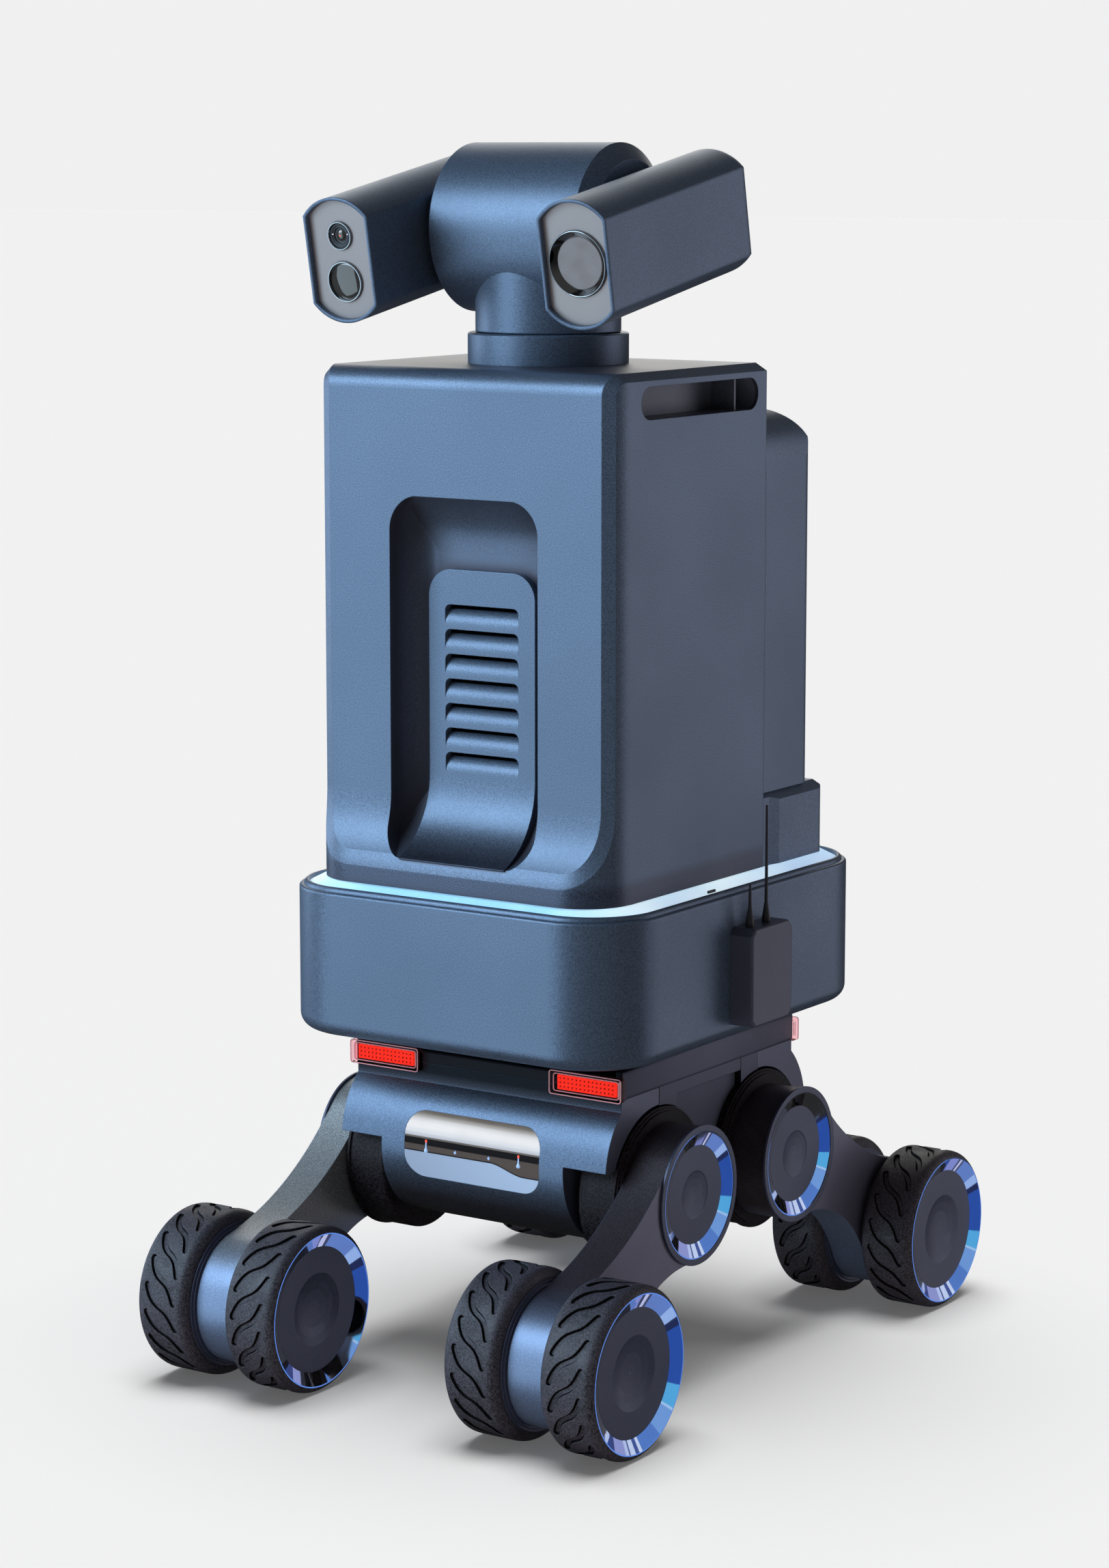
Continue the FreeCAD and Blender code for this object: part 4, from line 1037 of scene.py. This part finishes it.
def light_world():
    """A plain backdrop for the camera, and a faint fill that is brighter from above."""
    world = bpy.data.worlds.new("studio")
    world.use_nodes = True
    bpy.context.scene.world = world
    tree = world.node_tree
    tree.nodes.clear()
    out = tree.nodes.new("ShaderNodeOutputWorld")
    seen, lit = tree.nodes.new("ShaderNodeBackground"), tree.nodes.new("ShaderNodeBackground")
    seen.inputs["Color"].default_value = BACKDROP
    lit.inputs["Color"].default_value = (1.0, 1.0, 1.0, 1)
    sky = tree.nodes.new("ShaderNodeTexCoord")
    split = tree.nodes.new("ShaderNodeSeparateXYZ")
    rise = tree.nodes.new("ShaderNodeMapRange")
    for name, number in SKY_FILL:
        rise.inputs[name].default_value = number
    path = tree.nodes.new("ShaderNodeLightPath")
    mix = tree.nodes.new("ShaderNodeMixShader")
    tree.links.new(sky.outputs["Generated"], split.inputs["Vector"])
    tree.links.new(split.outputs["Z"], rise.inputs["Value"])
    tree.links.new(rise.outputs["Result"], lit.inputs["Strength"])
    tree.links.new(path.outputs["Is Camera Ray"], mix.inputs["Fac"])
    tree.links.new(lit.outputs["Background"], mix.inputs[1])
    tree.links.new(seen.outputs["Background"], mix.inputs[2])
    tree.links.new(mix.outputs["Shader"], out.inputs["Surface"])


# ---------------------------------------------------------------- lights
MIDDLE = (0, 0, 0.65)
COOL = (0.60, 0.83, 1.0)
# Name, place, target, size, colour, power and what it lights.
PANELS = (
    ("wash", (-1.75, -2.7, 0.9), MIDDLE, (2.2, 5.0), COOL, 90, "robot"),
    ("key", (-1.6, -2.5, 2.3), MIDDLE, (2.0, 1.6), COOL, 60, "robot"),
    ("left_edge", (-3.2, -0.4, 1.1), MIDDLE, (1.0, 2.2), (0.60, 0.80, 1.0), 40, "robot"),
    ("right_fill", (2.6, 3.0, 0.6), MIDDLE, (2.4, 4.0), (0.93, 0.92, 1.0), 34, "painted"),
    ("back_left", (-2.0, 2.9, 2.4), MIDDLE, (2.6, 2.4), (1.0, 0.99, 0.93), 39, "painted"),
    ("foot_light", (2.4, -2.4, 0.1), (0, 0, 0.2), (2.0, 1.0), (0.88, 0.93, 1.0), 130, "window"),
)


def lamp(name, kind, place, target, receivers):
    """A light object at a place, aimed at a target, that lights only its receivers."""
    light = bpy.data.lights.new(name, kind)
    obj = bpy.data.objects.new(name, light)
    obj.location = place
    bpy.context.scene.collection.objects.link(obj)
    aim(obj, target)
    obj.light_linking.receiver_collection = receivers
    return obj


def floor_sun(receivers):
    """A wide soft sun overhead that lights the floor and gives the robot its shadow."""
    sun = lamp("floor_light", "SUN", SUN_PLACE, (0, 0, 0), receivers)
    sun.data.energy, sun.data.angle = SUN_POWER, SUN_SPREAD


def panel(name, place, target, size, colour, power, receivers):
    """A rectangular soft light that the camera does not see."""
    soft = lamp(name, "AREA", place, target, receivers)
    soft.data.shape = "RECTANGLE"
    soft.data.size, soft.data.size_y = size
    soft.data.color = colour
    soft.data.energy = power
    soft.visible_camera = False


def receiver_groups(floor):
    """Collections of what each light may reach, by name."""
    groups = {}
    for name in ("ground", "robot", "chrome", "painted", "window"):
        groups[name] = bpy.data.collections.new(f"{name}_only")
    groups["ground"].objects.link(floor)
    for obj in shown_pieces():
        looks = [slot.material for slot in obj.material_slots]
        if WINDOW in looks:
            groups["window"].objects.link(obj)
        elif CHROME in looks:
            groups["chrome"].objects.link(obj)
        else:
            groups["robot"].objects.link(obj)
            if LENS_GLASS not in looks:
                groups["painted"].objects.link(obj)
    return groups


# ---------------------------------------------------------------- cards that the shiny parts reflect
CARD_FAR = 5.0
RING_SPOT = Vector((0.25, -0.30, 0.085))
RING_DISH, DISH_SPREAD = 24.7, 9.0
CARD_STEP = 6
# From and to, in degrees clockwise from the top of the ring, and the colour.
RING_CARDS = (
    (-22, 4, (0.24, 0.28, 0.66)), (4, 8, (0.04, 0.05, 0.11)), (8, 13, (0.55, 0.58, 0.86)),
    (13, 17, (0.06, 0.07, 0.15)), (17, 48, (0.14, 0.24, 0.60)), (48, 60, (0.34, 0.50, 0.88)),
    (60, 68, (0.02, 0.03, 0.10)), (68, 112, (0.028, 0.088, 0.40)), (112, 128, (0.10, 0.44, 0.80)),
    (128, 130, (0.40, 0.62, 0.92)), (130, 150, (0.18, 0.36, 0.74)), (150, 174, (0.10, 0.22, 0.60)),
    (174, 178, (0.62, 0.72, 0.95)), (178, 183, (0.06, 0.10, 0.32)), (183, 190, (0.60, 0.70, 0.95)),
    (190, 192, (0.05, 0.08, 0.25)), (192, 197, (0.50, 0.60, 0.90)), (197, 214, (0.30, 0.33, 0.66)),
    (214, 222, (0.05, 0.07, 0.22)), (222, 338, (0.035, 0.075, 0.30)),
)
LIP_SPREAD = 8.0
LIP_CORNERS = ((225, 315), (135, 45))
LIP_BLUE = (0.14, 0.30, 0.85)
WINDOW_SPOT = Vector((0.0, -0.19, 0.25))
WINDOW_ALONG = Vector((0.8, -0.55, 0.0))
WINDOW_REACH = 3.0
# Lowest and highest rise of the normal, in degrees, and the colour.
WINDOW_CARDS = (
    (4, 10, (0.50, 0.55, 0.62)), (10, 12, (0.66, 0.71, 0.78)), (12, 15, (0.86, 0.89, 0.93)),
    (15, 20, (0.98, 0.99, 1.0)), (20, 22.5, (0.84, 0.85, 0.86)), (22.5, 25, (0.42, 0.41, 0.39)),
    (25, 40, (0.14, 0.125, 0.11)),
)


def bounced(spot, normal):
    """The place that a mirror at that spot, facing that way, shows to the camera."""
    return spot + (spot - CAMERA_PLACE).normalized().reflect(normal) * CARD_FAR


def ring_look(turn, dish):
    """The look off a dished ring facing +X, at that angle clockwise from its top."""
    angle, tilt = math.radians(turn), math.radians(dish)
    normal = Vector((math.cos(tilt), -math.sin(tilt) * math.sin(angle),
                     -math.sin(tilt) * math.cos(angle)))
    return bounced(RING_SPOT, normal)


def window_look(rise, across):
    """The look off the sensor window at that rise of its normal, moved sideways."""
    angle = math.radians(rise)
    normal = Vector((0.0, -math.cos(angle), math.sin(angle)))
    return bounced(WINDOW_SPOT, normal) + WINDOW_ALONG * across


def card_light(name):
    """A material that glows in the colour written on each face."""
    look = bpy.data.materials.new(name)
    look.use_nodes = True
    tree = look.node_tree
    tree.nodes.remove(tree.nodes["Principled BSDF"])
    shine = tree.nodes.new("ShaderNodeEmission")
    read = tree.nodes.new("ShaderNodeAttribute")
    read.attribute_name = "tint"
    tree.links.new(read.outputs["Color"], shine.inputs["Color"])
    tree.links.new(shine.outputs["Emission"], tree.nodes["Material Output"].inputs["Surface"])
    return look


def cards(name, strips, receivers):
    """Lit cards that only the receivers see. A strip is a line of (low, high) edges and a colour."""
    verts, faces, tints = [], [], []
    for line, colour in strips:
        base = len(verts)
        for low, high in line:
            verts += [tuple(low), tuple(high)]
        for i in range(len(line) - 1):
            k = base + 2 * i
            faces.append((k, k + 1, k + 3, k + 2))
            tints.append(colour)
    mesh = bpy.data.meshes.new(name)
    mesh.from_pydata(verts, [], faces)
    tint = mesh.color_attributes.new("tint", "FLOAT_COLOR", "CORNER")
    for face, colour in zip(mesh.polygons, tints):
        for loop in face.loop_indices:
            tint.data[loop].color = tone(colour)
    mesh.materials.append(card_light(name))
    obj = bpy.data.objects.new(name, mesh)
    bpy.context.scene.collection.objects.link(obj)
    obj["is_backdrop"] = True
    obj.visible_camera = obj.visible_diffuse = obj.visible_shadow = False
    obj.visible_transmission = obj.visible_volume_scatter = False
    obj.light_linking.receiver_collection = receivers


def ring_cards(receivers):
    """Blue cards that the wheel rings reflect, and one that their lips reflect."""
    low, high = RING_DISH - DISH_SPREAD, RING_DISH + DISH_SPREAD
    strips = []
    for start, stop, colour in RING_CARDS:
        steps = max(1, round((stop - start) / CARD_STEP))
        turns = [start + (stop - start) * k / steps for k in range(steps + 1)]
        strips.append(([(ring_look(t, low), ring_look(t, high)) for t in turns], colour))
    lip = [tuple(ring_look(turn, LIP_SPREAD) for turn in turns) for turns in LIP_CORNERS]
    strips.append((lip, LIP_BLUE))
    cards("ring_cards", strips, receivers)


def window_cards(receivers):
    """Grey and white cards that the mirrored head of the sensor window reflects."""
    strips = []
    for start, stop, colour in WINDOW_CARDS:
        edges = [tuple(window_look(rise, side * WINDOW_REACH) for side in BOTH)
                 for rise in (start, stop)]
        strips.append((edges, colour))
    cards("window_cards", strips, receivers)


def studio():
    """The camera, the floor, the world, the lights and the cards."""
    bpy.context.scene.view_settings.view_transform = "Standard"
    set_camera()
    floor = lay_floor()
    light_world()
    groups = receiver_groups(floor)
    floor_sun(groups["ground"])
    for *settings, group in PANELS:
        panel(*settings, groups[group])
    ring_cards(groups["chrome"])
    window_cards(groups["window"])


# ---------------------------------------------------------------- the whole robot
dress_frame()
for corner in CORNERS:
    for which in ("outer", "inner"):
        tread_tyre(corner, which)
beam_lens()
camera_lenses()
camera_dots()
window_sparks()
lamp_beads()
lamp_rim_glints()
side_rails()
ring_seal()
ring_port()
studio()
